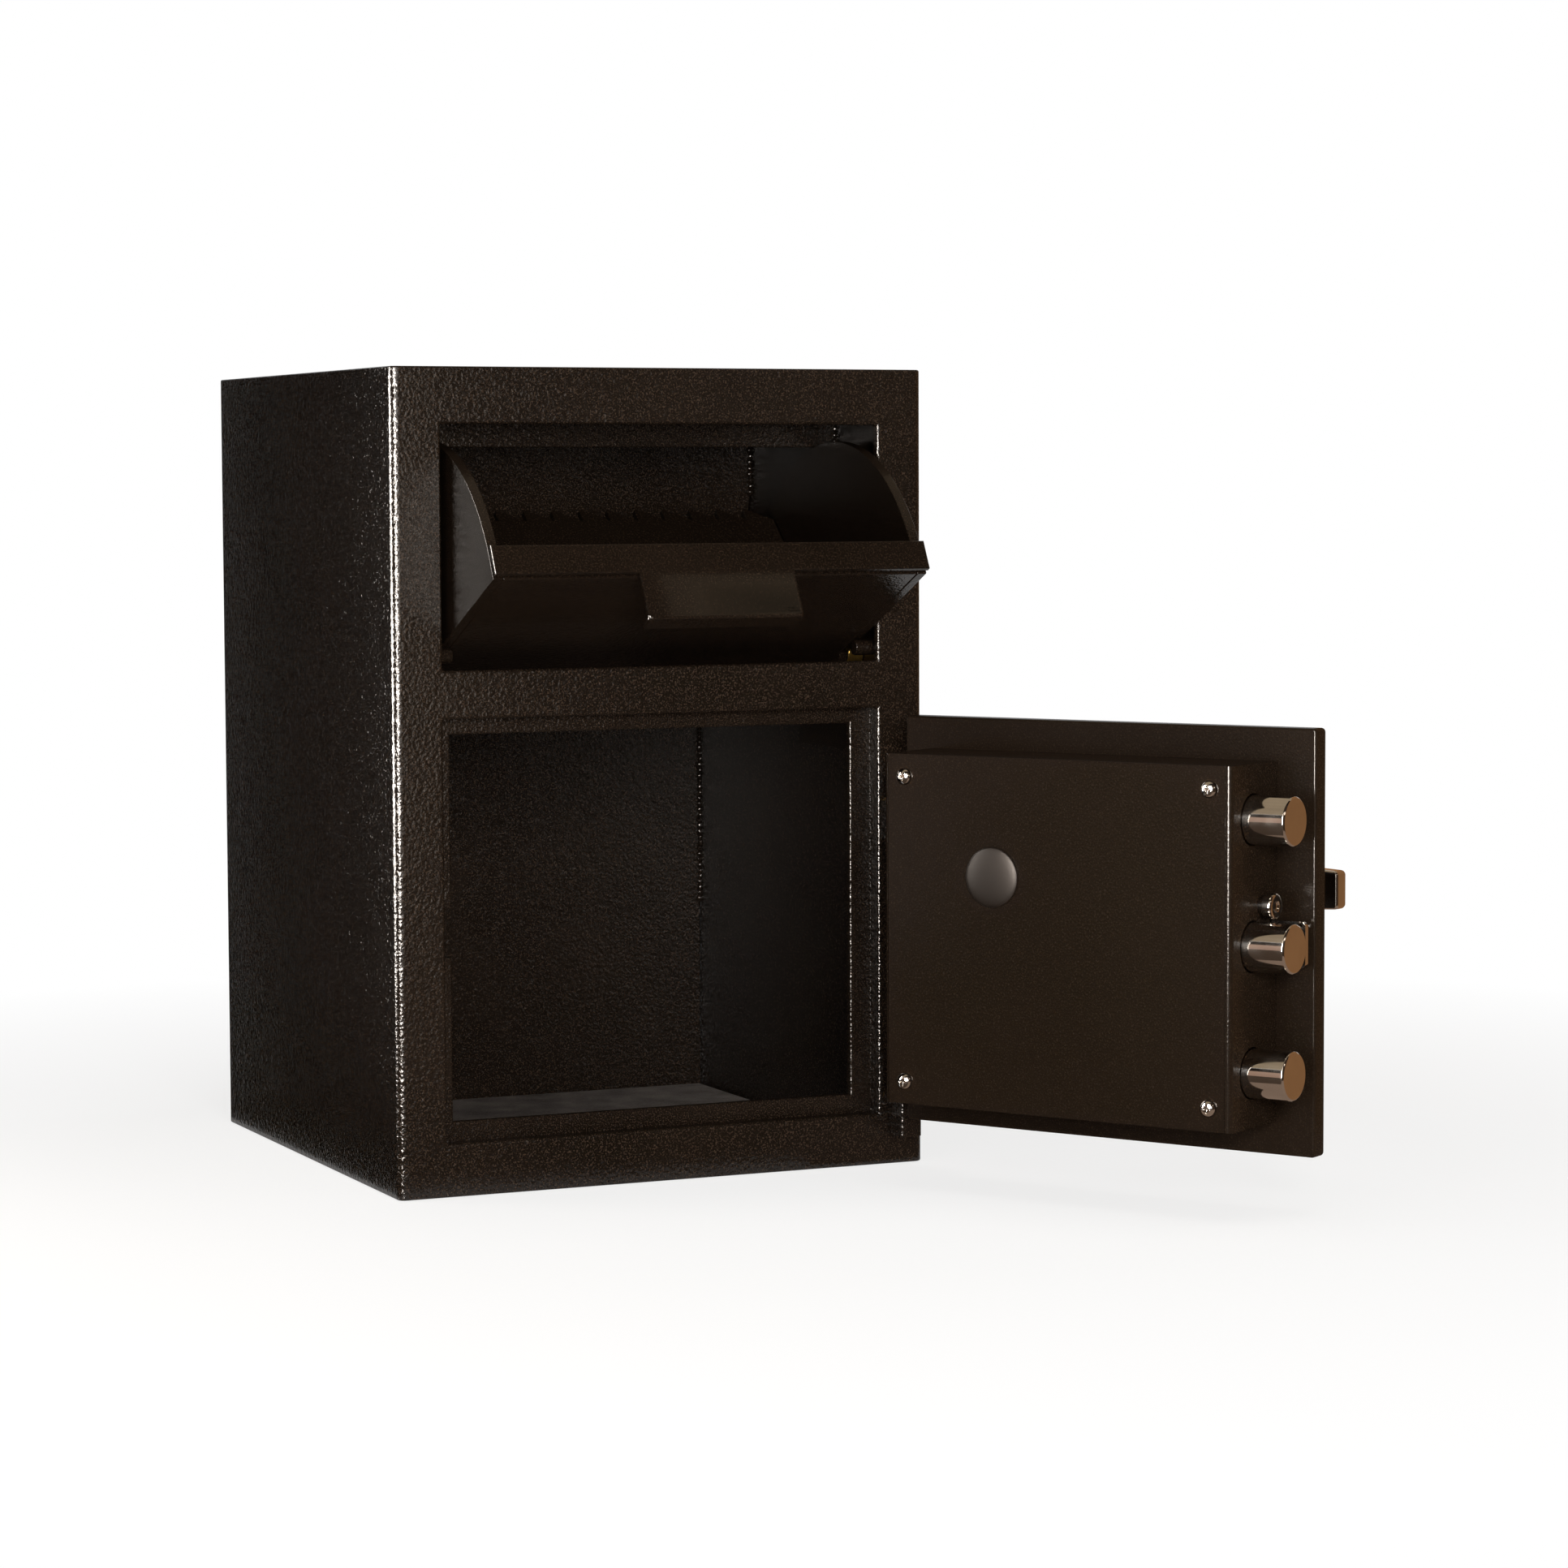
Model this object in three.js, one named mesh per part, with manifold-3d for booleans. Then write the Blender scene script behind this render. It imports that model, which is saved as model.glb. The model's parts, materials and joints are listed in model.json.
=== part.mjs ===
// Front-loading drop safe with a tilting deposit drawer, shown with both the drawer and the door open.
// Millimetres, +Z up. Origin: centre of the footprint on the floor. The front of the safe faces -Y.
// The drawer and the door are drawn closed about their own pivots and then swung open as groups.

import * as THREE from 'three';
import { mergeVertices } from 'three/addons/utils/BufferGeometryUtils.js';
import Module from 'manifold-3d';

const wasm = await Module();
wasm.setup();

// Safe body
const bodyWidth = 355.6;
const bodyDepth = 355.6;
const bodyHeight = 508;
const bodyWall = 6.35;
const bodyBendRadius = 5;
const seamGap = 0.3;
const floorPlateThickness = 4.8;
const anchorHoleDiameter = 13;
const anchorHoleInset = 70;
const matThickness = 1.3;
const matMargin = 3;

// Front frame round the two openings
const stileWidth = 31.5;
const bottomRail = 33;
const middleRail = 30;
const topRail = 35;
const drawerOpeningHeight = 149.5;
const rimRadius = 2;
const cutterReach = 2;

// Door and the frame that it closes against
const doorThickness = 12.7;
const doorGap = 2.1;
const doorDrop = 1.1;
const doorEdgeRadius = 1.6;
const doorCornerRadius = 2.5;
const doorOpenAngle = 121.5;
const stopLipThickness = 4.8;
const stopLipFreeSide = 8.5;
const stopLipHingeSide = 13.7;
const stopLipTop = 10;
const stopLipBottom = 11.5;
const stopRingMargin = 16.7;
const stopRingTopMargin = 11;
const stopRelief = 0.6;
const stopEdgeRadius = 1.2;
const keeperGap = 0.7;
const restGap = 0.3;

// Door hinges: a block on the body, a pin, a washer and an ear on the door, twice
const hingePinInset = 17.8;
const hingePinStandOff = 10;
const hingePinRadius = 4;
const hingePinChamfer = 1.2;
const hingePinRecess = 2;
const hingeBlockWidth = 14.5;
const hingeBlockHeight = 25;
const hingeBlockFront = 10.3;
const hingeBlockCornerRadius = 2;
const hingeBlockFloor = 3;
const lowerHingeBottom = 20;
const upperHingeDrop = 29.8;
const hingeWasherThickness = 1;
const hingeWasherRadius = 7;
const hingeEarHeight = 24.5;
const hingeEarReach = 48;
const runningClearance = 0.4;

// Bolt-work housing on the inside of the door
const housingFreeMargin = 25.6;
const housingHingeMargin = 20.8;
const housingEndMargin = 20;
const housingDepth = 57.3;
const housingWall = 2.5;
const housingRim = 4.2;
const housingBendRadius = 3;
const coverThickness = 1.9;
const coverGap = 0.4;
const coverCornerRadius = 1;
const cornerTabSize = 24;
const cornerTabThickness = 3;
const coverScrewInsetX = 14.9;
const coverScrewInsetZ = 13.9;
const coverScrewHeadRadius = 5.25;
const coverScrewHeadHeight = 3.2;
const coverScrewShankRadius = 2.4;
const coverScrewLength = 14;
const coverScrewCrossWidth = 1.1;
const coverScrewCrossReach = 2.6;
const coverScrewCrossDepth = 1.6;
const plugRadius = 18.5;
const plugDome = 3.2;
const plugRimHeight = 0.8;
const plugStemRadius = 15;
const plugStemReach = 3;

// Locking bolts and the plate that carries them
const boltRadius = 14.9;
const boltChamfer = 1;
const boltPitchShare = 0.348;
const boltAxisDepth = 31;
const boltOverhang = 2.5;
const boltLength = 62;
const boltHoleClearance = 0.8;
const boltTravel = 22;
const boltScrewHeadRadius = 6.5;
const boltScrewHeadHeight = 4;
const boltScrewChamfer = 0.8;
const boltScrewShankRadius = 3;
const boltScrewGrip = 12;
const carrierThickness = 3.6;
const carrierLift = 4.6;
const carrierSpineWidth = 19;
const carrierEnd = 16.7;
const carrierFlangeThickness = 4;
const carrierFlangeDepth = 40;
const armMargin = 8;
const camWindowMargin = 3;
const tongueHalfHeight = 13.9;
const tongueEnd = 2.6;
const tongueCornerRadius = 3;
const tongueHoleRadius = 1.4;
const tongueHoleInset = 3.6;
const tongueHoleDrop = 2.6;
const tongueClearance = 1;
const tailBottom = -35.5;
const tailTop = -9.8;
const tailClearance = 1;
const guidePostRadius = 4;
const guidePostHeadRadius = 7.5;
const guidePostHeadHeight = 2.4;
const guidePostChamfer = 0.6;
const guidePostDrop = 26.65;
const guidePostSpots = [-30, 14];

// Stop stud that stands out of the housing above the middle bolt
const studHeadRadius = 8;
const studHeadThickness = 6.3;
const studEdgeRadius = 1.8;
const studDishRadius = 3.5;
const studDishDepth = 1.2;
const studShankRadius = 5;
const studProud = 10.4;
const studRise = 23.5;
const studDepth = 20.5;
const studInner = 14;

// Handle outside, its square spindle and the cam that drives the carrier
const handleX = -36;
const handleRise = 26.85;
const handleRoseRadius = 24;
const handleRoseThickness = 6;
const handleRoseEdge = 2.5;
const handleHubRadius = 11;
const handleArmRootHeight = 34;
const handleArmTipHeight = 23.6;
const handleArmThickness = 12.2;
const handleStandOff = 53.1;
const handleTipMargin = 12.8;
const handleTipRadius = 3;
const handleEdgeRadius = 2.2;
const spindleSide = 8;
const spindleClearance = 0.3;
const spindleEnd = 2;
const camGap = 1.5;
const camThickness = 6;
const camHubRadius = 11;
const camLobeRadius = 6.8;
const camPinRadius = 3.5;
const camPinClearance = 0.9;
const camPinReach = 0.8;
const camNutRadius = 8;
const camNutThickness = 4;

// Combination lock: dial and ring outside, lock body and its bolt inside
const lockX = 45.3;
const lockRise = 35.15;
const dialRingRadius = 46;
const dialRingThickness = 9;
const dialRingFloor = 2.5;
const dialRingEdge = 4;
const dialWellGap = 1;
const dialRunningGap = 0.8;
const dialMarkHalfWidth = 2.4;
const dialMarkHeight = 7;
const dialMarkDepth = 1.5;
const dialRadius = 36;
const dialDiscThickness = 7;
const dialSkirtHeight = 9;
const dialSkirtEdge = 1.5;
const dialKnobRadius = 19;
const dialKnobHeight = 17;
const dialCapHeight = 1.6;
const dialRibCount = 18;
const dialRibDepth = 1;
const dialSpindleRadius = 3.5;
const dialSpindleGrip = 9.5;
const lockBodyWidth = 61;
const lockBodyAbove = 42;
const lockBodyBelow = 42;
const lockBodyThickness = 30;
const lockBodyCornerRadius = 4;
const lockBoltWidth = 19;
const lockBoltThickness = 7;
const lockBoltLength = 28;
const lockBoltLift = 3;
const lockBoltCornerRadius = 1.2;
const changeKeyHoleRadius = 4;
const changeKeyHoleDepth = 12;

// Deposit drawer: a pan that tips about a low pivot
const drawerPivotDepth = 45.6;
const drawerPivotRise = 4.2;
const drawerOpenAngle = 65.4;
const drawerSideGap = 3.8;
const drawerTopGap = 9.8;
const drawerPlate = 6.35;
const drawerPanelOffset = 4.1;
const drawerPanelDrop = 8;
const drawerBackAngle = 22.6;
const drawerBackPlate = 4.8;
const drawerPivotLobe = 10;
const lipDepth = 19;
const lipFront = 2.8;
const lipThickness = 4.8;
const lipSeat = 1;
const lipTilt = 2.8;
const lipEdgeRadius = 1.2;
const tabWidth = 101.6;
const tabReach = 31.4;
const tabFlangeHeight = 15;
const tabCornerRadius = 3;
const toothCount = 14;
const toothDepth = 10.5;
const toothLand = 1.5;

// Fixed frame that carries the drawer inside the body
const sidePlateInset = 24.3;
const sidePlateThickness = 4.8;
const sidePlateDrop = 64.2;
const sidePlateLowerBack = 137;
const sidePlateBack = 236;
const sidePlateFrameGap = 4;
const sidePlateStep = 6;
const headerDepth = 77.6;
const headerDrop = 13.4;
const headerThickness = 6.35;
const baffleDepth = 215;
const baffleBendDrop = 42.4;
const baffleThickness = 3.2;
const baffleFlange = 60;
const baffleLean = 16;
const pivotPinRadius = 6;
const pivotPinGrip = 3.5;
const pivotPinEnd = 3;
const pivotPinChamfer = 1;
const pivotBushWall = 2;
const pivotBushEnd = 1;
const pivotSpacerRadius = 10;
const drawerStopRadius = 5;
const drawerStopReach = 30;

// Values worked out from the sizes above
const frontFace = -bodyDepth / 2;
const backFace = bodyDepth / 2;
const innerFront = frontFace + bodyWall + seamGap;
const innerHalfWidth = bodyWidth / 2 - bodyWall - seamGap;
const innerHeight = bodyHeight - bodyWall - seamGap;
const openingWidth = bodyWidth - 2 * stileWidth;
const halfOpening = openingWidth / 2;
const drawerOpeningTop = bodyHeight - topRail;
const drawerOpeningBottom = drawerOpeningTop - drawerOpeningHeight;
const doorOpeningTop = drawerOpeningBottom - middleRail;
const doorOpeningBottom = bottomRail;
const doorWidth = openingWidth - 2 * doorGap;
const doorHeight = doorOpeningTop - doorOpeningBottom - 2 * doorGap;
const doorMiddle = (doorOpeningTop + doorOpeningBottom) / 2 - doorDrop;
const doorTop = doorMiddle + doorHeight / 2;
const stopFace = doorThickness + restGap;
const keeperBack = doorThickness + boltAxisDepth - boltRadius - keeperGap;
const stopRingTop = doorOpeningTop + stopRingTopMargin;
const hingePinX = bodyWidth / 2 - hingePinInset;
const housingHeight = doorHeight - 2 * housingEndMargin;
const boltPitch = boltPitchShare * housingHeight;
const handleZ = doorMiddle + handleRise;
const lockZ = doorMiddle + lockRise;
const drawerWidth = openingWidth - 2 * drawerSideGap;
const drawerPivotHeight = drawerOpeningBottom + drawerPivotRise;
const drawerArcRadius = drawerOpeningTop - drawerPivotHeight - drawerTopGap;
const sidePlateInner = bodyWidth / 2 - sidePlateInset;
const sidePlateBottom = drawerPivotHeight - sidePlateDrop;
const headerBottom = drawerOpeningTop - headerDrop;
const baffleBend = drawerOpeningTop - baffleBendDrop;

// Directions of the three drawing planes: a sketch's own x, its own y, and the way it is extruded
const alongX = new THREE.Vector3(1, 0, 0);
const alongY = new THREE.Vector3(0, 1, 0);
const alongZ = new THREE.Vector3(0, 0, 1);
const planes = {
  plan: new THREE.Matrix4().makeBasis(alongX, alongY, alongZ),
  side: new THREE.Matrix4().makeBasis(alongY, alongZ, alongX),
  front: new THREE.Matrix4().makeBasis(alongX, alongZ, alongY.clone().negate()),
};

function radians(degrees) {
  return THREE.MathUtils.degToRad(degrees);
}

// A closed three.js geometry as a solid that can be joined and cut
function solidOf(geometry) {
  geometry.deleteAttribute('normal');
  geometry.deleteAttribute('uv');
  const merged = mergeVertices(geometry, 1e-4);
  return new wasm.Manifold(new wasm.Mesh({
    numProp: 3,
    vertProperties: new Float32Array(merged.attributes.position.array),
    triVerts: new Uint32Array(merged.index.array),
  }));
}

function geometryOf(solid) {
  const mesh = solid.getMesh();
  const flat = new THREE.BufferGeometry();
  flat.setAttribute('position', new THREE.BufferAttribute(new Float32Array(mesh.vertProperties), 3));
  flat.setIndex(new THREE.BufferAttribute(new Uint32Array(mesh.triVerts), 1));
  const faceted = flat.toNonIndexed();
  faceted.computeVertexNormals();
  return faceted;
}

// A sketch extruded between two places on the axis square to its plane, with optional rounded edges
function extruded(sketch, plane, from, to, edgeRadius = 0, curveSegments = 6) {
  const low = Math.min(from, to);
  const high = Math.max(from, to);
  const geometry = new THREE.ExtrudeGeometry(sketch, {
    depth: high - low - 2 * edgeRadius,
    bevelEnabled: edgeRadius > 0,
    bevelThickness: edgeRadius,
    bevelSize: edgeRadius,
    bevelOffset: -edgeRadius,
    bevelSegments: 3,
    curveSegments,
  });
  const start = plane === 'front' ? -high : low;
  geometry.translate(0, 0, start + edgeRadius);
  geometry.applyMatrix4(planes[plane]);
  return solidOf(geometry);
}

function block(x0, x1, y0, y1, z0, z1) {
  const geometry = new THREE.BoxGeometry(Math.abs(x1 - x0), Math.abs(y1 - y0), Math.abs(z1 - z0));
  geometry.translate((x0 + x1) / 2, (y0 + y1) / 2, (z0 + z1) / 2);
  return solidOf(geometry);
}

function circle(u, v, radius) {
  const shape = new THREE.Shape();
  shape.absarc(u, v, radius, 0, 2 * Math.PI, false);
  return shape;
}

function rod(plane, u, v, radius, from, to, curveSegments = 9) {
  return extruded(circle(u, v, radius), plane, from, to, 0, curveSegments);
}

function rectangle(u0, u1, v0, v1, radius = 0) {
  const shape = new THREE.Shape();
  if (radius === 0) {
    shape.moveTo(u0, v0);
    shape.lineTo(u1, v0);
    shape.lineTo(u1, v1);
    shape.lineTo(u0, v1);
    shape.closePath();
    return shape;
  }
  shape.moveTo(u0 + radius, v0);
  shape.lineTo(u1 - radius, v0);
  shape.absarc(u1 - radius, v0 + radius, radius, -Math.PI / 2, 0, false);
  shape.lineTo(u1, v1 - radius);
  shape.absarc(u1 - radius, v1 - radius, radius, 0, Math.PI / 2, false);
  shape.lineTo(u0 + radius, v1);
  shape.absarc(u0 + radius, v1 - radius, radius, Math.PI / 2, Math.PI, false);
  shape.lineTo(u0, v0 + radius);
  shape.absarc(u0 + radius, v0 + radius, radius, Math.PI, 1.5 * Math.PI, false);
  return shape;
}

function outline(corners) {
  return new THREE.Shape(corners.map(([u, v]) => new THREE.Vector2(u, v)));
}

// A solid turned about an axis: the profile lists radius and height from axis to axis
const turningTilt = {
  x: new THREE.Matrix4().makeBasis(alongY, alongX, alongZ.clone().negate()),
  y: new THREE.Matrix4(),
  z: new THREE.Matrix4().makeBasis(alongX, alongZ, alongY.clone().negate()),
};

function turned(axis, profile, place, segments = 32) {
  const points = profile.map(([radius, height]) => new THREE.Vector2(radius, height));
  const geometry = new THREE.LatheGeometry(points, segments);
  geometry.applyMatrix4(turningTilt[axis]);
  geometry.translate(place.x, place.y, place.z);
  return solidOf(geometry);
}

// The points of a quarter round on a turned profile, from the face towards the side or back
function quarterRound(centreRadius, centreHeight, radius, fromAngle, toAngle, steps = 4) {
  const points = [];
  for (let i = 0; i <= steps; i += 1) {
    const angle = radians(fromAngle + (toAngle - fromAngle) * i / steps);
    points.push([centreRadius + radius * Math.cos(angle), centreHeight + radius * Math.sin(angle)]);
  }
  return points;
}

// A cutter for a rectangular opening seen from the front, flared so that the rim is left rounded
function openingCutter(left, right, bottom, top, faceY, throughY, radius) {
  const steps = 4;
  const rings = [[faceY - cutterReach, radius]];
  for (let i = 0; i <= steps; i += 1) {
    const angle = (i / steps) * Math.PI / 2;
    rings.push([faceY + radius * (1 - Math.cos(angle)), radius * (1 - Math.sin(angle))]);
  }
  rings.push([throughY, 0]);
  const positions = [];
  for (const [y, grow] of rings) {
    positions.push(left - grow, y, bottom - grow, right + grow, y, bottom - grow);
    positions.push(right + grow, y, top + grow, left - grow, y, top + grow);
  }
  const faces = [0, 1, 2, 0, 2, 3];
  for (let ring = 0; ring < rings.length - 1; ring += 1) {
    for (let side = 0; side < 4; side += 1) {
      const a = ring * 4 + side;
      const b = ring * 4 + (side + 1) % 4;
      faces.push(a, a + 4, b, b, a + 4, b + 4);
    }
  }
  const last = (rings.length - 1) * 4;
  faces.push(last, last + 2, last + 1, last, last + 3, last + 2);
  const geometry = new THREE.BufferGeometry();
  geometry.setAttribute('position', new THREE.Float32BufferAttribute(positions, 3));
  geometry.setIndex(faces);
  return solidOf(geometry);
}

// Finishes
function blackEnamel() {
  return new THREE.MeshStandardMaterial({ color: 0x1c1813, roughness: 0.42, metalness: 0.2 });
}

function chromePlate() {
  return new THREE.MeshStandardMaterial({ color: 0xc9c7c4, roughness: 0.12, metalness: 1 });
}

function zincPlate() {
  return new THREE.MeshStandardMaterial({ color: 0xa8a79f, roughness: 0.38, metalness: 1 });
}

function blackPlastic() {
  return new THREE.MeshStandardMaterial({ color: 0x16140f, roughness: 0.35, metalness: 0 });
}

function brass() {
  return new THREE.MeshStandardMaterial({ color: 0xb08d4a, roughness: 0.35, metalness: 1 });
}

function greyCarpet() {
  return new THREE.MeshStandardMaterial({ color: 0x3d3d3c, roughness: 0.95, metalness: 0 });
}

function blackDial() {
  return new THREE.MeshStandardMaterial({ color: 0x101010, roughness: 0.3, metalness: 0.1 });
}

const safe = new THREE.Group();
const drawer = new THREE.Group();
const door = new THREE.Group();

function place(group, name, solid, material) {
  const mesh = new THREE.Mesh(geometryOf(solid), material);
  mesh.name = name;
  group.add(mesh);
}

// Body: one plate bent round the front and both sides
function bodyWrap() {
  const halfWidth = bodyWidth / 2;
  const shape = new THREE.Shape();
  shape.moveTo(-halfWidth, backFace);
  shape.lineTo(-halfWidth, frontFace + bodyBendRadius);
  const cornerY = frontFace + bodyBendRadius;
  shape.absarc(-halfWidth + bodyBendRadius, cornerY, bodyBendRadius, Math.PI, 1.5 * Math.PI, false);
  shape.lineTo(halfWidth - bodyBendRadius, frontFace);
  shape.absarc(halfWidth - bodyBendRadius, cornerY, bodyBendRadius, -Math.PI / 2, 0, false);
  shape.lineTo(halfWidth, backFace);
  shape.lineTo(halfWidth - bodyWall, backFace);
  shape.lineTo(halfWidth - bodyWall, frontFace + bodyWall);
  shape.lineTo(-halfWidth + bodyWall, frontFace + bodyWall);
  shape.lineTo(-halfWidth + bodyWall, backFace);
  shape.closePath();
  const beyondWall = innerFront + cutterReach;
  return extruded(shape, 'plan', 0, bodyHeight)
    .subtract(openingCutter(-halfOpening, halfOpening, doorOpeningBottom, doorOpeningTop,
      frontFace, beyondWall, rimRadius))
    .subtract(openingCutter(-halfOpening, halfOpening, drawerOpeningBottom, drawerOpeningTop,
      frontFace, beyondWall, rimRadius));
}

function levelPlate(margin, bottom, top) {
  const half = innerHalfWidth - margin;
  const back = backFace - bodyWall - seamGap - margin;
  return block(-half, half, innerFront + margin, back, bottom, top);
}

function bottomPlate() {
  let plate = levelPlate(0, 0, floorPlateThickness);
  for (const x of [-innerHalfWidth + anchorHoleInset, innerHalfWidth - anchorHoleInset]) {
    for (const y of [frontFace + anchorHoleInset, backFace - anchorHoleInset]) {
      plate = plate.subtract(rod('plan', x, y, anchorHoleDiameter / 2, -1, floorPlateThickness + 1));
    }
  }
  return plate;
}

function backPlate() {
  return block(-innerHalfWidth, innerHalfWidth, backFace - bodyWall, backFace, 0, bodyHeight);
}

function floorMat() {
  const bottom = floorPlateThickness + seamGap;
  return levelPlate(matMargin, bottom, bottom + matThickness);
}

// The frame behind the door opening: a rebate for the door's thickness, a thin lip that the door rests on,
// and on the free side a deeper keeper that the bolts shoot behind
function doorStopFrame() {
  const lip = frontFace + stopFace;
  const lipBack = lip + stopLipThickness;
  const back = frontFace + keeperBack;
  const outerHalf = halfOpening + stopRingMargin;
  const ring = block(-outerHalf, outerHalf, innerFront, lipBack, doorOpeningBottom - stopRingMargin, stopRingTop);
  const keeper = block(-outerHalf, -halfOpening + stopLipFreeSide + 1, lipBack - 1, back,
    doorOpeningBottom - stopRingMargin, stopRingTop);
  const rebate = block(-halfOpening - stopRelief, halfOpening + stopRelief, innerFront - 1, lip,
    doorOpeningBottom - stopRelief, doorOpeningTop + stopRelief);
  const mouth = openingCutter(-halfOpening + stopLipFreeSide, halfOpening - stopLipHingeSide,
    doorOpeningBottom + stopLipBottom, doorOpeningTop - stopLipTop, lip, back + 1, stopEdgeRadius);
  const notchHalf = tongueHalfHeight + 2 * tongueClearance;
  const notch = block(doorLeft() + tongueEnd - 3 * tongueClearance, 0, lip - 1, back + 1,
    doorMiddle - notchHalf, doorMiddle + notchHalf);
  return ring.add(keeper).subtract(rebate).subtract(mouth).subtract(notch);
}

function doorLeft() {
  return -doorWidth / 2;
}

// Drawer frame: two side plates, a header bar and a bent baffle, all welded inside the body
function drawerSidePlate(side) {
  const foot = stopRingTop + sidePlateFrameGap;
  const profile = outline([
    [innerFront, foot],
    [innerFront, innerHeight],
    [frontFace + sidePlateBack, innerHeight],
    [frontFace + sidePlateBack, baffleBend - baffleFlange],
    [frontFace + sidePlateLowerBack, sidePlateBottom + drawerStopReach],
    [frontFace + sidePlateLowerBack, sidePlateBottom],
    [frontFace + drawerPivotDepth + pivotSpacerRadius, sidePlateBottom],
    [frontFace + keeperBack + sidePlateStep, foot],
  ]);
  const inner = side * sidePlateInner;
  const outer = side * (sidePlateInner + sidePlateThickness);
  const bore = pivotPinRadius + runningClearance + pivotBushWall + restGap;
  return extruded(profile, 'side', inner, outer)
    .subtract(rod('side', frontFace + drawerPivotDepth, drawerPivotHeight, bore, inner - side, outer + side));
}

function drawerHeader() {
  const half = sidePlateInner - seamGap;
  const front = frontFace + headerDepth;
  return block(-half, half, front, front + headerThickness, headerBottom, innerHeight);
}

function bafflePlate() {
  const front = frontFace + baffleDepth;
  const lean = radians(baffleLean);
  const down = [Math.sin(lean), -Math.cos(lean)];
  const back = [Math.cos(lean), Math.sin(lean)];
  const bend = baffleThickness * Math.tan(lean / 2);
  const profile = outline([
    [front, innerHeight],
    [front, baffleBend],
    [front + baffleFlange * down[0], baffleBend + baffleFlange * down[1]],
    [front + baffleFlange * down[0] + baffleThickness * back[0],
      baffleBend + baffleFlange * down[1] + baffleThickness * back[1]],
    [front + baffleThickness, baffleBend + bend],
    [front + baffleThickness, innerHeight],
  ]);
  const half = sidePlateInner - seamGap;
  return extruded(profile, 'side', -half, half);
}

function pivotBush(side) {
  const y = frontFace + drawerPivotDepth;
  const bore = pivotPinRadius + runningClearance;
  const sleeve = bore + pivotBushWall;
  const cheekFace = drawerWidth / 2 + runningClearance;
  const shoulder = sidePlateInner - restGap;
  const end = sidePlateInner + sidePlateThickness + pivotBushEnd;
  return rod('side', y, drawerPivotHeight, pivotSpacerRadius, side * cheekFace, side * shoulder)
    .add(rod('side', y, drawerPivotHeight, sleeve, side * (shoulder - 1), side * end))
    .subtract(rod('side', y, drawerPivotHeight, bore, side * (cheekFace - 1), side * (end + 1)));
}

function drawerStopPeg(side) {
  const angle = radians(90 - drawerOpenAngle);
  const offset = drawerPanelOffset + drawerStopRadius + restGap;
  const y = frontFace + drawerPivotDepth - drawerStopReach * Math.cos(angle) - offset * Math.sin(angle);
  const z = drawerPivotHeight + drawerStopReach * Math.sin(angle) - offset * Math.cos(angle);
  const inner = drawerWidth / 2 - drawerPlate;
  return rod('side', y, z, drawerStopRadius, side * inner, side * (sidePlateInner - seamGap), 6);
}

// Hinges
function hingeBottoms() {
  const earBottom = doorTop - upperHingeDrop - hingeEarHeight;
  return { lower: lowerHingeBottom, upper: earBottom - hingeWasherThickness - 2 * runningClearance - hingeBlockHeight };
}

function hingeEarBottom(blockBottom) {
  return blockBottom + hingeBlockHeight + hingeWasherThickness + 2 * runningClearance;
}

function hingeBlock(bottom) {
  const pinY = frontFace - hingePinStandOff;
  const left = hingePinX - hingeBlockWidth / 2;
  const right = hingePinX + hingeBlockWidth / 2;
  const r = hingeBlockCornerRadius;
  const back = frontFace - seamGap;
  const front = pinY - hingeBlockFront;
  const shape = new THREE.Shape();
  shape.moveTo(left, back);
  shape.lineTo(left, front + r);
  shape.absarc(left + r, front + r, r, Math.PI, 1.5 * Math.PI, false);
  shape.lineTo(right - r, front);
  shape.absarc(right - r, front + r, r, -Math.PI / 2, 0, false);
  shape.lineTo(right, back);
  shape.closePath();
  const bore = rod('plan', hingePinX, pinY, hingePinRadius + restGap, bottom + hingeBlockFloor,
    bottom + hingeBlockHeight + 1);
  return extruded(shape, 'plan', bottom, bottom + hingeBlockHeight).subtract(bore);
}

function hingeWasher(bottom) {
  const pinY = frontFace - hingePinStandOff;
  const low = bottom + hingeBlockHeight + runningClearance;
  const high = low + hingeWasherThickness;
  return rod('plan', hingePinX, pinY, hingeWasherRadius, low, high)
    .subtract(rod('plan', hingePinX, pinY, hingePinRadius + runningClearance, low - 1, high + 1));
}

function hingePin(bottom) {
  const low = bottom + hingeBlockFloor + restGap;
  const top = hingeEarBottom(bottom) + hingeEarHeight - hingePinRecess;
  const r = hingePinRadius;
  return turned('z', [[0, low], [r, low], [r, top - hingePinChamfer], [r - hingePinChamfer, top], [0, top]],
    { x: hingePinX, y: frontFace - hingePinStandOff, z: 0 }, 24);
}

// Door pieces are drawn closed, from the hinge pin: x to the right, y to the back, z from the floor
const shiftX = -hingePinX;
const faceY = hingePinStandOff;
const innerY = faceY + doorThickness;

function doorPlate() {
  const left = doorLeft() + shiftX;
  const sketch = rectangle(left, left + doorWidth, doorTop - doorHeight, doorTop, doorCornerRadius);
  return extruded(sketch, 'front', faceY, innerY, doorEdgeRadius, 2)
    .subtract(rod('front', handleX + shiftX, handleZ, spindleBore(), faceY - 1, innerY + 1))
    .subtract(rod('front', lockX + shiftX, lockZ, dialSpindleRadius + runningClearance, faceY - 1, innerY + 1));
}

function spindleBore() {
  return spindleSide / Math.SQRT2 + runningClearance;
}

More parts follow.
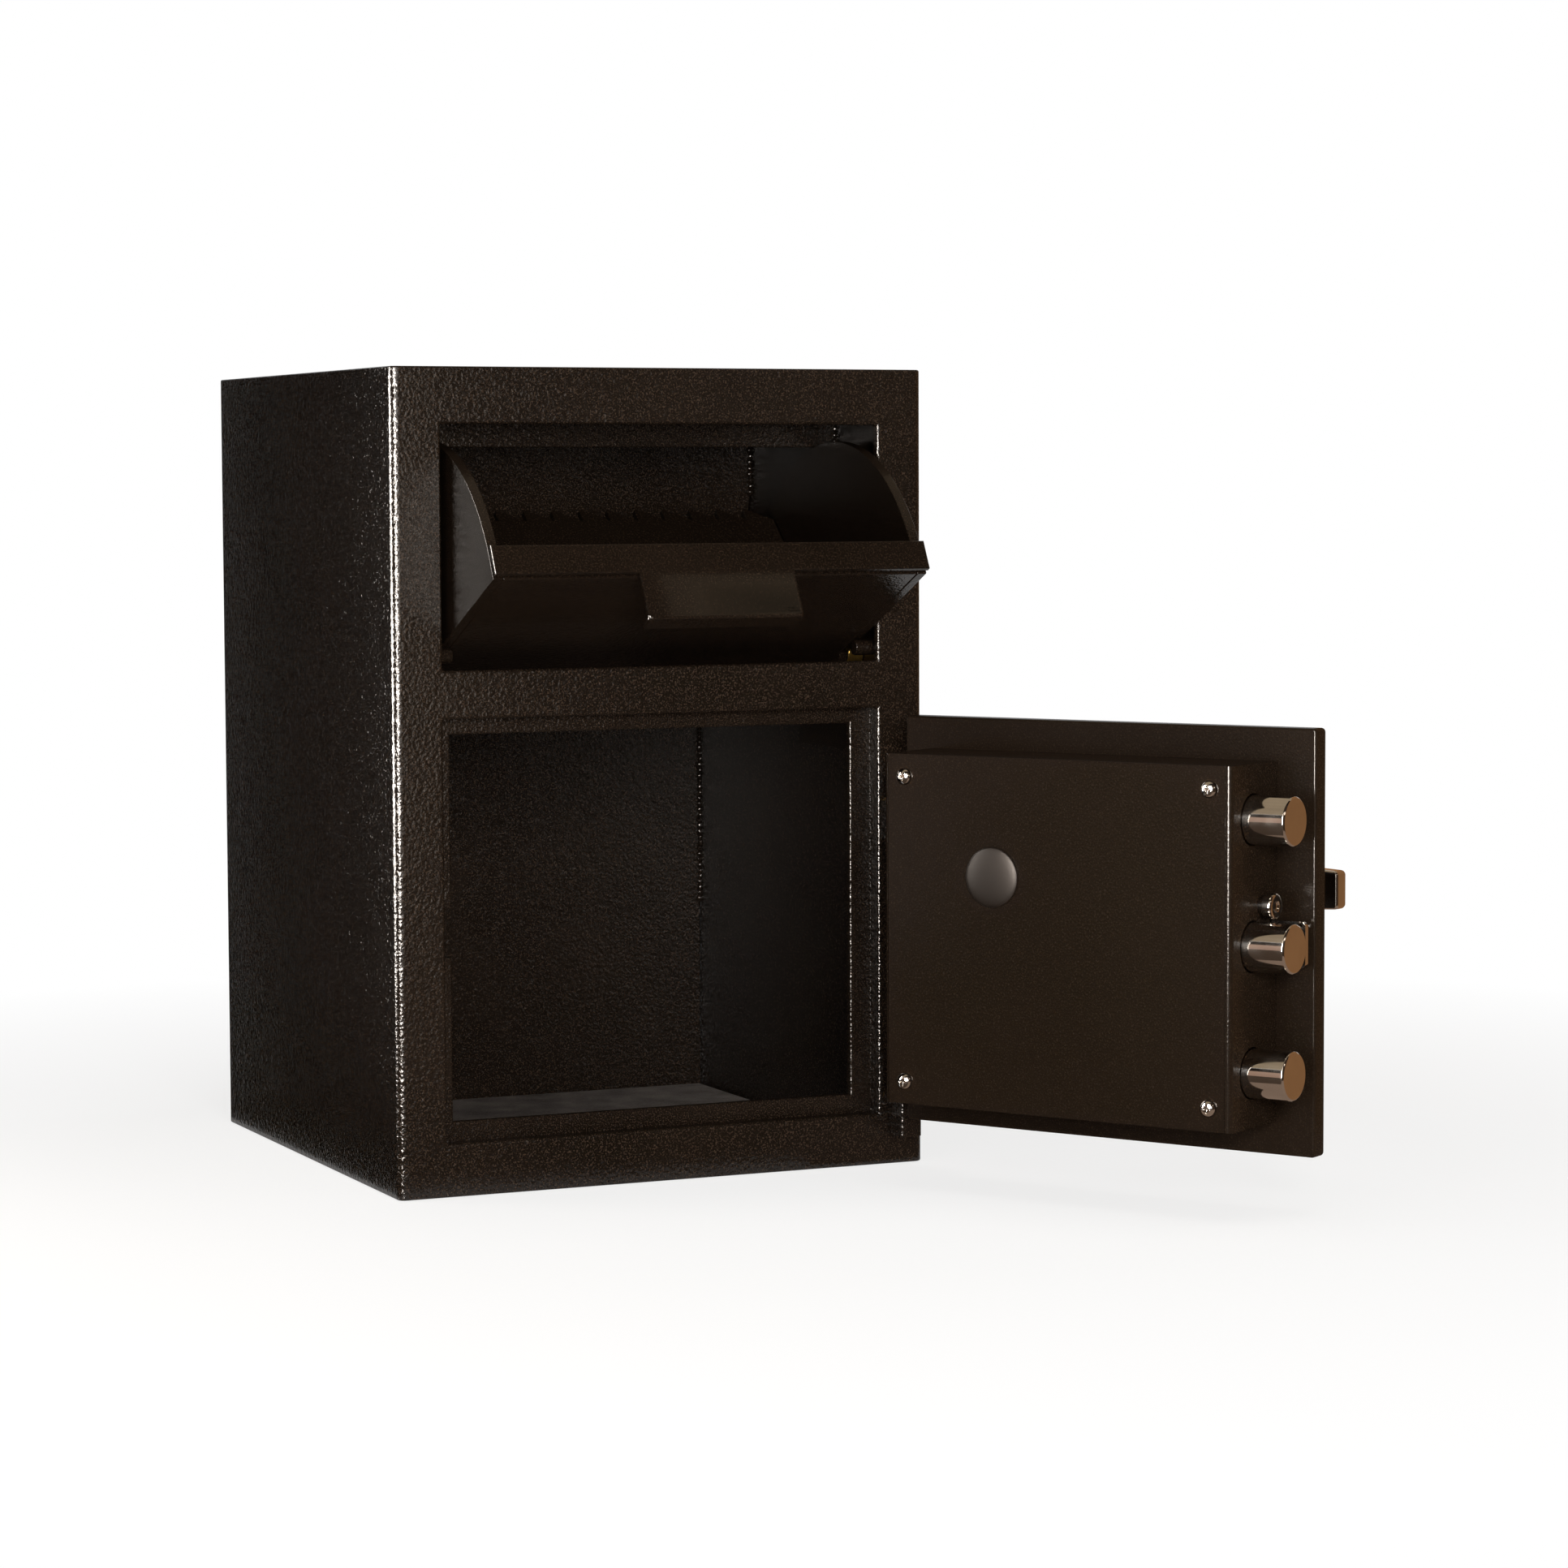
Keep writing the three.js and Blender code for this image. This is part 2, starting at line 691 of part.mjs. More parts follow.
function hingeEar(bottom) {
  const low = hingeEarBottom(bottom);
  const knuckle = hingePinStandOff - restGap;
  const shape = new THREE.Shape();
  shape.moveTo(-hingeEarReach, -knuckle);
  shape.lineTo(0, -knuckle);
  shape.absarc(0, 0, knuckle, -Math.PI / 2, Math.PI / 2, false);
  shape.lineTo(-hingeEarReach, knuckle);
  shape.closePath();
  return extruded(shape, 'plan', low, low + hingeEarHeight, 0, 12)
    .subtract(rod('plan', 0, 0, hingePinRadius + runningClearance, low - 1, low + hingeEarHeight + 1));
}

// Housing: folded sheet round the bolt work, with a rim along its free edge that the cover meets
function housingEdges() {
  const doorEdge = doorLeft() + shiftX;
  return {
    left: doorEdge + housingFreeMargin,
    right: doorEdge + doorWidth - housingHingeMargin,
    bottom: doorMiddle - housingHeight / 2,
    top: doorMiddle + housingHeight / 2,
    back: innerY + restGap,
    face: innerY + housingDepth,
  };
}

function boltHeights() {
  return [doorMiddle + boltPitch, doorMiddle, doorMiddle - boltPitch];
}

function coverScrewSpots() {
  const edge = housingEdges();
  return [
    [edge.left + coverScrewInsetX, edge.top - coverScrewInsetZ],
    [edge.right - coverScrewInsetX, edge.top - coverScrewInsetZ],
    [edge.left + coverScrewInsetX, edge.bottom + coverScrewInsetZ],
    [edge.right - coverScrewInsetX, edge.bottom + coverScrewInsetZ],
  ];
}

function housingShell(edge, seat) {
  const w = housingWall;
  const r = housingBendRadius;
  const plan = new THREE.Shape();
  plan.moveTo(edge.left, edge.back);
  plan.lineTo(edge.right, edge.back);
  plan.lineTo(edge.right, edge.face - r);
  plan.absarc(edge.right - r, edge.face - r, r, 0, Math.PI / 2, false);
  plan.lineTo(edge.left + r, edge.face);
  plan.absarc(edge.left + r, edge.face - r, r, Math.PI / 2, Math.PI, false);
  plan.closePath();
  const behindRim = edge.face - w;
  const rimEnd = edge.left + housingRim;
  return extruded(plan, 'plan', edge.bottom, edge.top, 0, 4)
    .subtract(block(edge.left + w, edge.right - w, edge.back - 1, behindRim, edge.bottom + w, edge.top - w))
    .subtract(block(rimEnd, edge.right - w, behindRim - 1, edge.face + 1, edge.bottom + w, edge.top - w))
    .subtract(block(rimEnd, edge.right - w, seat, edge.face + 1, edge.bottom - 1, edge.top + 1));
}

function boltworkFrame() {
  const edge = housingEdges();
  const seat = edge.face - coverThickness - 2 * restGap;
  const tabBack = seat - cornerTabThickness;
  const halfWall = housingWall / 2;
  let frame = housingShell(edge, seat);
  for (const [x, z] of coverScrewSpots()) {
    const cornerX = x < (edge.left + edge.right) / 2 ? edge.left + halfWall : edge.right - halfWall;
    const cornerZ = z < doorMiddle ? edge.bottom + halfWall : edge.top - halfWall;
    const reachX = Math.sign(x - cornerX) * cornerTabSize;
    const reachZ = Math.sign(z - cornerZ) * cornerTabSize;
    frame = frame
      .add(block(cornerX, cornerX + reachX, tabBack, seat, cornerZ, cornerZ + reachZ))
      .subtract(rod('front', x, z, coverScrewShankRadius + restGap, tabBack - 1, seat + 1, 6));
  }
  const wallFrom = edge.left - 1;
  const wallTo = edge.left + housingWall + 1;
  for (const z of boltHeights()) {
    frame = frame.subtract(rod('side', innerY + boltAxisDepth, z, boltRadius + boltHoleClearance,
      wallFrom, wallTo, 14));
  }
  const slotBack = innerY + carrierLift - tongueClearance;
  const slotFace = innerY + carrierLift + carrierThickness + tongueClearance;
  const slotHalf = tongueHalfHeight + tongueClearance;
  return frame
    .subtract(block(wallFrom, wallTo, slotBack, slotFace, doorMiddle - slotHalf, doorMiddle + slotHalf))
    .subtract(rod('side', innerY + studDepth, doorMiddle + studRise, studShankRadius + restGap, wallFrom, wallTo));
}

// Cover: a plate between the rim and the hinge-side wall, over the ends of the top and bottom walls
function boltworkCover() {
  const edge = housingEdges();
  const left = edge.left + housingRim + coverGap;
  const right = edge.right - housingWall - coverGap;
  const face = edge.face - restGap;
  const back = face - coverThickness;
  let cover = extruded(rectangle(left, right, edge.bottom, edge.top, coverCornerRadius), 'front', back, face, 0, 3);
  for (const [x, z] of coverScrewSpots()) {
    cover = cover.subtract(rod('front', x, z, coverScrewShankRadius + restGap, back - 1, face + 1, 6));
  }
  return cover.subtract(rod('front', lockX + shiftX, lockZ, plugStemRadius + restGap, back - 1, face + 1));
}

// Round-head screw with a cross recess, standing on the cover
function coverScrew([x, z]) {
  const edge = housingEdges();
  const seat = edge.face;
  const r = coverScrewHeadRadius;
  const crown = coverScrewHeadHeight;
  const shank = coverScrewShankRadius;
  const tip = seat - coverScrewLength;
  const dome = quarterRound(r - crown, seat, crown, 0, 90, 3);
  const body = turned('y', [[0, tip], [shank, tip], [shank, seat], [r, seat], ...dome.slice(1), [0, seat + crown]],
    { x, y: 0, z }, 20);
  const half = coverScrewCrossWidth / 2;
  const reach = coverScrewCrossReach;
  const depth = seat + crown - coverScrewCrossDepth;
  return body
    .subtract(block(x - reach, x + reach, depth, seat + crown + 1, z - half, z + half))
    .subtract(block(x - half, x + half, depth, seat + crown + 1, z - reach, z + reach));
}

// Low domed plug over the hole behind the lock
function holePlug() {
  const seat = housingEdges().face;
  const inner = seat - coverThickness - plugStemReach;
  const r = plugRadius;
  const stem = plugStemRadius;
  const dome = [];
  for (let i = 0; i < 6; i += 1) {
    const angle = (i / 6) * Math.PI / 2;
    dome.push([r * Math.cos(angle), seat + plugRimHeight + (plugDome - plugRimHeight) * Math.sin(angle)]);
  }
  return turned('y', [[0, inner], [stem, inner], [stem, seat], [r, seat], ...dome, [0, seat + plugDome]],
    { x: lockX + shiftX, y: 0, z: lockZ });
}

// Mushroom-headed stud with a dished end
function stopStud() {
  const tip = housingEdges().left - studProud;
  const neck = tip + studHeadThickness;
  const inner = housingEdges().left + studInner;
  const r = studHeadRadius;
  const e = studEdgeRadius;
  const nose = quarterRound(r - e, -tip - e, e, 90, 0, 3).map(([radius, height]) => [radius, -height]);
  return turned('x', [[0, tip + studDishDepth], [studDishRadius - studDishDepth, tip + studDishDepth],
    [studDishRadius, tip], ...nose, [r, neck], [studShankRadius, neck], [studShankRadius, inner], [0, inner]],
  { x: 0, y: innerY + studDepth, z: doorMiddle + studRise }, 24);
}

// Carrier: one flat plated plate with a tongue, an arm with an open slot, a tail and a turned-up flange
function boltInnerEnd() {
  return doorLeft() + shiftX - boltOverhang + boltLength;
}

function boltCarrier() {
  const back = innerY + carrierLift;
  const face = back + carrierThickness;
  const halfHeight = boltPitch + carrierEnd;
  const flangeLeft = boltInnerEnd() + restGap;
  const flangeRight = flangeLeft + carrierFlangeThickness;
  const flangeFace = back + carrierFlangeDepth;
  const spineLeft = flangeRight - carrierSpineWidth;
  const tongueTip = doorLeft() + shiftX + tongueEnd;
  const tailEnd = lockX + shiftX - lockBoltWidth / 2 - tailClearance;
  const slotHalf = camPinRadius + camPinClearance;
  const pinX = handleX + shiftX - camPinRise();
  const pinTop = handleZ + camCrank();
  const armBottom = handleZ + spindleSide;
  let plate = block(spineLeft, flangeRight, back, face, doorMiddle - halfHeight, doorMiddle + halfHeight)
    .add(extruded(rectangle(tongueTip, spineLeft + tongueCornerRadius + 1, doorMiddle - tongueHalfHeight,
      doorMiddle + tongueHalfHeight, tongueCornerRadius), 'front', back, face, 0, 5))
    .add(block(flangeRight - 1, pinX + slotHalf + armMargin, back, face, armBottom, pinTop + slotHalf + armMargin))
    .add(block(flangeRight - 1, tailEnd, back, face, doorMiddle + tailBottom, doorMiddle + tailTop))
    .add(block(flangeLeft, flangeRight, back, flangeFace, doorMiddle - halfHeight, doorMiddle + halfHeight));
  plate = plate
    .subtract(block(pinX - slotHalf, pinX + slotHalf, back - 1, face + 1, armBottom - 1, pinTop + slotHalf))
    .subtract(block(flangeLeft - 1, flangeRight + 1, face, flangeFace + 1,
      handleZ - camHubRadius - camWindowMargin, pinTop + camLobeRadius + camWindowMargin))
    .subtract(rod('front', tongueTip + tongueHoleInset, doorMiddle + tongueHalfHeight - tongueHoleDrop,
      tongueHoleRadius, back - 1, face + 1, 6));
  for (const z of boltHeights()) {
    plate = plate.subtract(rod('side', innerY + boltAxisDepth, z, boltScrewShankRadius + restGap,
      flangeLeft - 1, flangeRight + 1, 6));
  }
  const slotMiddle = doorMiddle - guidePostDrop;
  const slotReach = guidePostRadius + runningClearance;
  for (const spot of guidePostSpots) {
    const right = spot + shiftX + slotReach;
    const left = right - boltTravel - 2 * slotReach;
    plate = plate.subtract(extruded(rectangle(left, right, slotMiddle - slotReach, slotMiddle + slotReach,
      guidePostRadius), 'front', back - 1, face + 1, 0, 6));
  }
  return plate;
}

function guidePost(spot) {
  const base = innerY + restGap;
  const neck = innerY + carrierLift + carrierThickness + runningClearance;
  const top = neck + guidePostHeadHeight;
  const r = guidePostHeadRadius;
  return turned('y', [[0, base], [guidePostRadius, base], [guidePostRadius, neck], [r, neck],
    [r, top - guidePostChamfer], [r - guidePostChamfer, top], [0, top]],
  { x: spot + shiftX, y: 0, z: doorMiddle - guidePostDrop }, 24);
}

function lockingBolt(z) {
  const tip = doorLeft() + shiftX - boltOverhang;
  const inner = boltInnerEnd();
  const r = boltRadius;
  const tapped = boltScrewShankRadius + restGap;
  return turned('x', [[0, tip], [r - boltChamfer, tip], [r, tip + boltChamfer], [r, inner], [tapped, inner],
    [tapped, inner - boltScrewGrip], [0, inner - boltScrewGrip]], { x: 0, y: innerY + boltAxisDepth, z }, 36);
}

function boltScrew(z) {
  const seat = boltInnerEnd() + 2 * restGap + carrierFlangeThickness;
  const top = seat + boltScrewHeadHeight;
  const tip = boltInnerEnd() - boltScrewGrip + 1;
  const shank = boltScrewShankRadius;
  const r = boltScrewHeadRadius;
  return turned('x', [[0, tip], [shank, tip], [shank, seat], [r, seat], [r, top - boltScrewChamfer],
    [r - boltScrewChamfer, top], [0, top]], { x: 0, y: innerY + boltAxisDepth, z }, 20);
}

// Cam: a quarter turn of the crank moves the carrier by the bolts' travel
function camCrank() {
  return boltTravel / Math.SQRT2;
}

function camPinRise() {
  return camCrank() * Math.cos(Math.PI / 4);
}

function camBack() {
  return innerY + carrierLift + carrierThickness + camGap;
}

function handleCam() {
  const x = handleX + shiftX;
  const rise = camPinRise();
  const pinX = x - rise;
  const pinZ = handleZ + rise;
  const back = camBack();
  const face = back + camThickness;
  const half = spindleSide / 2 + spindleClearance;
  const hub = camHubRadius * Math.SQRT1_2;
  const lobe = camLobeRadius * Math.SQRT1_2;
  const web = outline([[x - hub, handleZ - hub], [x + hub, handleZ + hub], [pinX + lobe, pinZ + lobe],
    [pinX - lobe, pinZ - lobe]]);
  return rod('front', x, handleZ, camHubRadius, back, face)
    .add(rod('front', pinX, pinZ, camLobeRadius, back, face))
    .add(extruded(web, 'front', back, face))
    .add(rod('front', pinX, pinZ, camPinRadius, innerY + carrierLift - camPinReach, face))
    .subtract(block(x - half, x + half, back - 1, face + 1, handleZ - half, handleZ + half));
}

function handleSpindle() {
  const x = handleX + shiftX;
  const half = spindleSide / 2;
  const outer = faceY - handleStandOff + handleArmThickness;
  const inner = camBack() + camThickness + camNutThickness + spindleEnd;
  return block(x - half, x + half, outer, inner, handleZ - half, handleZ + half);
}

function camRetainer() {
  const x = handleX + shiftX;
  const seat = camBack() + camThickness + restGap;
  const half = spindleSide / 2 + spindleClearance;
  return rod('front', x, handleZ, camNutRadius, seat, seat + camNutThickness, 3)
    .subtract(block(x - half, x + half, seat - 1, seat + camNutThickness + 1, handleZ - half, handleZ + half));
}

function handleRose() {
  const seat = faceY - restGap;
  const outer = seat - handleRoseThickness;
  const r = handleRoseRadius;
  const e = handleRoseEdge;
  const bore = handleHubRadius + runningClearance;
  return turned('y', [[0, outer], [r - e, outer], [r - 0.3 * e, outer + 0.3 * e], [r, outer + e], [r, seat], [0, seat]],
    { x: handleX + shiftX, y: 0, z: handleZ }, 36)
    .subtract(rod('front', handleX + shiftX, handleZ, bore, outer - 1, seat + 1, 16));
}

// Lever: a hub that stands off the door and a tapered bar that reaches almost to the door's free edge
function handleLever() {
  const x = handleX + shiftX;
  const outer = faceY - handleStandOff;
  const armInner = outer + handleArmThickness;
  const root = handleArmRootHeight / 2;
  const end = handleArmTipHeight / 2;
  const tip = doorLeft() + shiftX + handleTipMargin;
  const r = handleTipRadius;
  const hole = spindleSide / 2 + spindleClearance;
  const arm = new THREE.Shape();
  arm.moveTo(x, handleZ - root);
  arm.absarc(x, handleZ, root, -Math.PI / 2, Math.PI / 2, false);
  arm.lineTo(tip + r, handleZ + end);
  arm.absarc(tip + r, handleZ + end - r, r, Math.PI / 2, Math.PI, false);
  arm.lineTo(tip, handleZ - end + r);
  arm.absarc(tip + r, handleZ - end + r, r, Math.PI, 1.5 * Math.PI, false);
  arm.closePath();
  return extruded(arm, 'front', outer, armInner, handleEdgeRadius, 5)
    .add(rod('front', x, handleZ, handleHubRadius, outer + handleEdgeRadius, faceY - 2 * restGap, 16))
    .subtract(block(x - hole, x + hole, armInner - restGap, faceY, handleZ - hole, handleZ + hole));
}

// Combination lock
function lockBodyBottom() {
  return lockZ - lockBodyBelow;
}

function lockBody() {
  const x = lockX + shiftX;
  const back = innerY + restGap;
  const face = back + lockBodyThickness;
  const half = lockBodyWidth / 2;
  const channelHalf = lockBoltWidth / 2 + runningClearance;
  const channelBack = innerY + lockBoltLift - runningClearance;
  const channelFace = innerY + lockBoltLift + lockBoltThickness + runningClearance;
  const bottom = lockBodyBottom();
  return extruded(rectangle(x - half, x + half, bottom, lockZ + lockBodyAbove, lockBodyCornerRadius),
    'front', back, face, 0, 3)
    .subtract(block(x - channelHalf, x + channelHalf, channelBack, channelFace, bottom - 1,
      bottom + lockBoltLength + 1))
    .subtract(rod('front', x, lockZ, dialSpindleRadius + runningClearance, back - 1, back + lockBodyThickness / 2))
    .subtract(rod('front', x, lockZ + changeKeyHoleRadius * 2, changeKeyHoleRadius,
      face - changeKeyHoleDepth, face + 1, 6));
}

function lockBolt() {
  const x = lockX + shiftX;
  const half = lockBoltWidth / 2;
  const back = innerY + lockBoltLift;
  const bottom = lockBodyBottom() + restGap;
  return extruded(rectangle(x - half, x + half, bottom, bottom + lockBoltLength, lockBoltCornerRadius), 'front',
    back, back + lockBoltThickness, 0, 3);
}

function dialRing() {
  const x = lockX + shiftX;
  const seat = faceY - restGap;
  const outer = seat - dialRingThickness;
  const r = dialRingRadius;
  const e = dialRingEdge;
  const floor = seat - dialRingFloor;
  const low = lockZ + dialRadius;
  const mark = outline([[x, low], [x + dialMarkHalfWidth, low + dialMarkHeight],
    [x - dialMarkHalfWidth, low + dialMarkHeight]]);
  return turned('y', [[0, outer], [r - e, outer], [r - 0.3 * e, outer + 0.3 * e], [r, outer + e], [r, seat], [0, seat]],
    { x, y: 0, z: lockZ }, 40)
    .subtract(rod('front', x, lockZ, dialRadius + dialWellGap, outer - 1, floor, 20))
    .subtract(rod('front', x, lockZ, dialSpindleRadius + runningClearance, floor - 1, seat + 1, 8))
    .subtract(extruded(mark, 'front', outer - 1, outer + dialMarkDepth));
}

function dialBack() {
  return faceY - restGap - dialRingFloor - dialRunningGap;
}

function knobSketch(x) {
  const shape = new THREE.Shape();
  const steps = dialRibCount * 4;
  for (let i = 0; i < steps; i += 1) {
    const angle = (i / steps) * 2 * Math.PI;
    const radius = dialKnobRadius - dialRibDepth * (i % 4 < 2 ? 0 : 1);
    const point = [x + radius * Math.cos(angle), lockZ + radius * Math.sin(angle)];
    if (i === 0) {
      shape.moveTo(...point);
    } else {
      shape.lineTo(...point);
    }
  }
  shape.closePath();
  return shape;
}

// Dial: a sloping numbered skirt with a ribbed knob in the middle
function lockDial() {
  const x = lockX + shiftX;
  const back = dialBack();
  const rim = back - dialDiscThickness;
  const shoulder = rim - dialSkirtHeight;
  const top = shoulder - dialKnobHeight;
  const capBack = top + dialCapHeight;
  const k = dialKnobRadius;
  const edge = dialSkirtEdge;
  return turned('y', [[0, shoulder], [k + edge, shoulder], [dialRadius - edge, rim - edge], [dialRadius, rim],
    [dialRadius, back], [0, back]], { x, y: 0, z: lockZ }, 40)
    .add(extruded(knobSketch(x), 'front', capBack, shoulder + 1))
    .add(turned('y', [[0, top], [k - 3 * dialRibDepth, top], [k - 1.5 * dialRibDepth, capBack], [0, capBack]],
      { x, y: 0, z: lockZ }, 36))
    .subtract(rod('front', x, lockZ, dialSpindleRadius + restGap, back - dialSpindleGrip - 0.5, back + 1, 8));
}

function dialSpindle() {
  const to = innerY + restGap + lockBodyThickness / 2 - 1;
  return rod('front', lockX + shiftX, lockZ, dialSpindleRadius, dialBack() - dialSpindleGrip, to, 8);
}

// Drawer pieces are drawn closed, from the pivot: y to the back, z up
const drawerInnerHalf = drawerWidth / 2 - drawerPlate;
const panelFace = -drawerPanelOffset;

function drawerPanel() {
  const half = drawerInnerHalf - seamGap;
  return block(-half, half, panelFace, panelFace + drawerPlate, -drawerPanelDrop, drawerArcRadius - restGap);
}

// Cheek: a sector between the panel and the back plate, with a lobe round the pivot
function drawerCheek(side) {
  const shape = new THREE.Shape();
  const low = radians(-drawerBackAngle);
  const front = Math.acos(panelFace / drawerArcRadius);
  shape.moveTo(panelFace, 0);
  shape.lineTo(panelFace, drawerArcRadius * Math.sin(front));
  shape.absarc(0, 0, drawerArcRadius, front, low, true);
  shape.lineTo(0, 0);
  shape.closePath();
  const inner = side * drawerInnerHalf;
  const outer = side * drawerWidth / 2;
  const bore = pivotPinRadius + restGap;
  return extruded(shape, 'side', inner, outer, 0, 30)
    .add(rod('side', 0, 0, drawerPivotLobe, inner, outer, 12))
    .add(extruded(outline([[panelFace, 1], [panelFace, -drawerPanelDrop], [0, -drawerPanelDrop], [0, 1]]),
      'side', inner, outer))
    .subtract(rod('side', 0, 0, bore, side * (drawerPlate + drawerInnerHalf - 4), outer + side));
}

// Back plate with a saw-toothed free edge that stops anything being fished back out
function toothedBackPlate() {
  const half = drawerInnerHalf - seamGap;
  const pitch = 2 * half / toothCount;
  const root = drawerArcRadius - toothDepth;
  const start = drawerPivotLobe + panelFace + drawerPlate;
  const shape = new THREE.Shape();
  shape.moveTo(-half, start);
  shape.lineTo(half, start);
  shape.lineTo(half, root);
  for (let tooth = toothCount - 1; tooth >= 0; tooth -= 1) {
    const left = -half + tooth * pitch;
    shape.lineTo(left + toothLand, drawerArcRadius);
    shape.lineTo(left, drawerArcRadius);
    shape.lineTo(left, root);
  }
  shape.closePath();
  const plate = extruded(shape, 'plan', -drawerBackPlate, 0);
  return plate.rotate([-drawerBackAngle, 0, 0]);
}

// Lip along the top of the drawer, with a pull tab in the middle whose end is turned down
function drawerLip() {
  const half = drawerWidth / 2;
  const front = -lipFront;
  const tabHalf = tabWidth / 2;
  const tabEnd = front - tabReach;
  const r = tabCornerRadius;
  const shape = new THREE.Shape();
  shape.moveTo(-half, front + lipDepth);
  shape.lineTo(-half, front);
  shape.lineTo(-tabHalf, front);
  shape.lineTo(-tabHalf, tabEnd + r);
  shape.absarc(-tabHalf + r, tabEnd + r, r, Math.PI, 1.5 * Math.PI, false);
  shape.lineTo(tabHalf - r, tabEnd);
  shape.absarc(tabHalf - r, tabEnd + r, r, -Math.PI / 2, 0, false);
  shape.lineTo(tabHalf, front);
  shape.lineTo(half, front);
  shape.lineTo(half, front + lipDepth);
  shape.closePath();
  const flange = extruded(rectangle(-tabHalf, tabHalf, -tabFlangeHeight, 0, r), 'front',
    tabEnd, tabEnd + lipThickness, lipEdgeRadius, 3);
  return extruded(shape, 'plan', -lipThickness, 0, lipEdgeRadius, 3)
    .add(flange)
    .rotate([-lipTilt, 0, 0])
    .translate([0, 0, drawerArcRadius + lipThickness + lipSeat]);
}

function pivotPin(side) {
  const inner = drawerWidth / 2 - pivotPinGrip;
  const outer = sidePlateInner + sidePlateThickness + pivotPinEnd;
  const r = pivotPinRadius;
  const chamfer = pivotPinChamfer;
  const profile = [[0, inner], [r, inner], [r, outer - chamfer], [r - chamfer, outer], [0, outer]];
  const mirrored = profile.map(([radius, height]) => [radius, -height]).reverse();
  return turned('x', side > 0 ? profile : mirrored, { x: 0, y: 0, z: 0 }, 24);
}

// Assembly
place(safe, 'body_wrap', bodyWrap(), blackEnamel());
place(safe, 'top_plate', levelPlate(0, bodyHeight - bodyWall, bodyHeight), blackEnamel());
place(safe, 'bottom_plate', bottomPlate(), blackEnamel());
place(safe, 'back_plate', backPlate(), blackEnamel());
place(safe, 'floor_mat', floorMat(), greyCarpet());
place(safe, 'door_stop_frame', doorStopFrame(), blackEnamel());
place(safe, 'drawer_header', drawerHeader(), blackEnamel());
place(safe, 'baffle_plate', bafflePlate(), blackEnamel());

for (const [name, side] of [['left', -1], ['right', 1]]) {
  place(safe, `${name}_drawer_side_plate`, drawerSidePlate(side), blackEnamel());
  place(safe, `${name}_pivot_bush`, pivotBush(side), brass());
  place(safe, `${name}_drawer_stop_peg`, drawerStopPeg(side), blackEnamel());
  place(drawer, `${name}_drawer_cheek`, drawerCheek(side), blackEnamel());
  place(drawer, `${name}_pivot_pin`, pivotPin(side), zincPlate());
}

for (const [name, bottom] of Object.entries(hingeBottoms())) {
  place(safe, `${name}_hinge_block`, hingeBlock(bottom), blackEnamel());
  place(safe, `${name}_hinge_washer`, hingeWasher(bottom), brass());
  place(safe, `${name}_hinge_pin`, hingePin(bottom), zincPlate());
  place(door, `${name}_hinge_ear`, hingeEar(bottom), blackEnamel());
}

place(drawer, 'drawer_panel', drawerPanel(), blackEnamel());
place(drawer, 'drawer_lip', drawerLip(), blackEnamel());
place(drawer, 'toothed_back_plate', toothedBackPlate(), blackEnamel());

place(door, 'door_plate', doorPlate(), blackEnamel());
place(door, 'boltwork_frame', boltworkFrame(), blackEnamel());
place(door, 'boltwork_cover', boltworkCover(), blackEnamel());
coverScrewSpots().forEach((spot, index) => {
  place(door, `cover_screw_${index + 1}`, coverScrew(spot), chromePlate());
});
place(door, 'hole_plug', holePlug(), blackPlastic());
place(door, 'stop_stud', stopStud(), chromePlate());
guidePostSpots.forEach((spot, index) => {
  place(door, `guide_post_${index + 1}`, guidePost(spot), zincPlate());
});
place(door, 'lock_body', lockBody(), zincPlate());
place(door, 'lock_bolt', lockBolt(), brass());
place(door, 'dial_ring', dialRing(), chromePlate());
place(door, 'lock_dial', lockDial(), blackDial());
place(door, 'dial_spindle', dialSpindle(), zincPlate());
place(door, 'handle_rose', handleRose(), chromePlate());
place(door, 'handle_lever', handleLever(), chromePlate());
place(door, 'handle_spindle', handleSpindle(), zincPlate());
place(door, 'handle_cam', handleCam(), zincPlate());
place(door, 'cam_retainer', camRetainer(), zincPlate());
place(door, 'bolt_carrier', boltCarrier(), zincPlate());
boltHeights().forEach((z, index) => {
  place(door, `locking_bolt_${index + 1}`, lockingBolt(z), chromePlate());
  place(door, `bolt_screw_${index + 1}`, boltScrew(z), zincPlate());
});

door.position.set(hingePinX, frontFace - hingePinStandOff, 0);
door.rotation.z = radians(doorOpenAngle);
drawer.position.set(0, frontFace + drawerPivotDepth, drawerPivotHeight);
drawer.rotation.x = radians(drawerOpenAngle);
safe.add(drawer, door);

export default safe;
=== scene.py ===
import json
import math

import bmesh
import bpy
from mathutils import Matrix, Vector


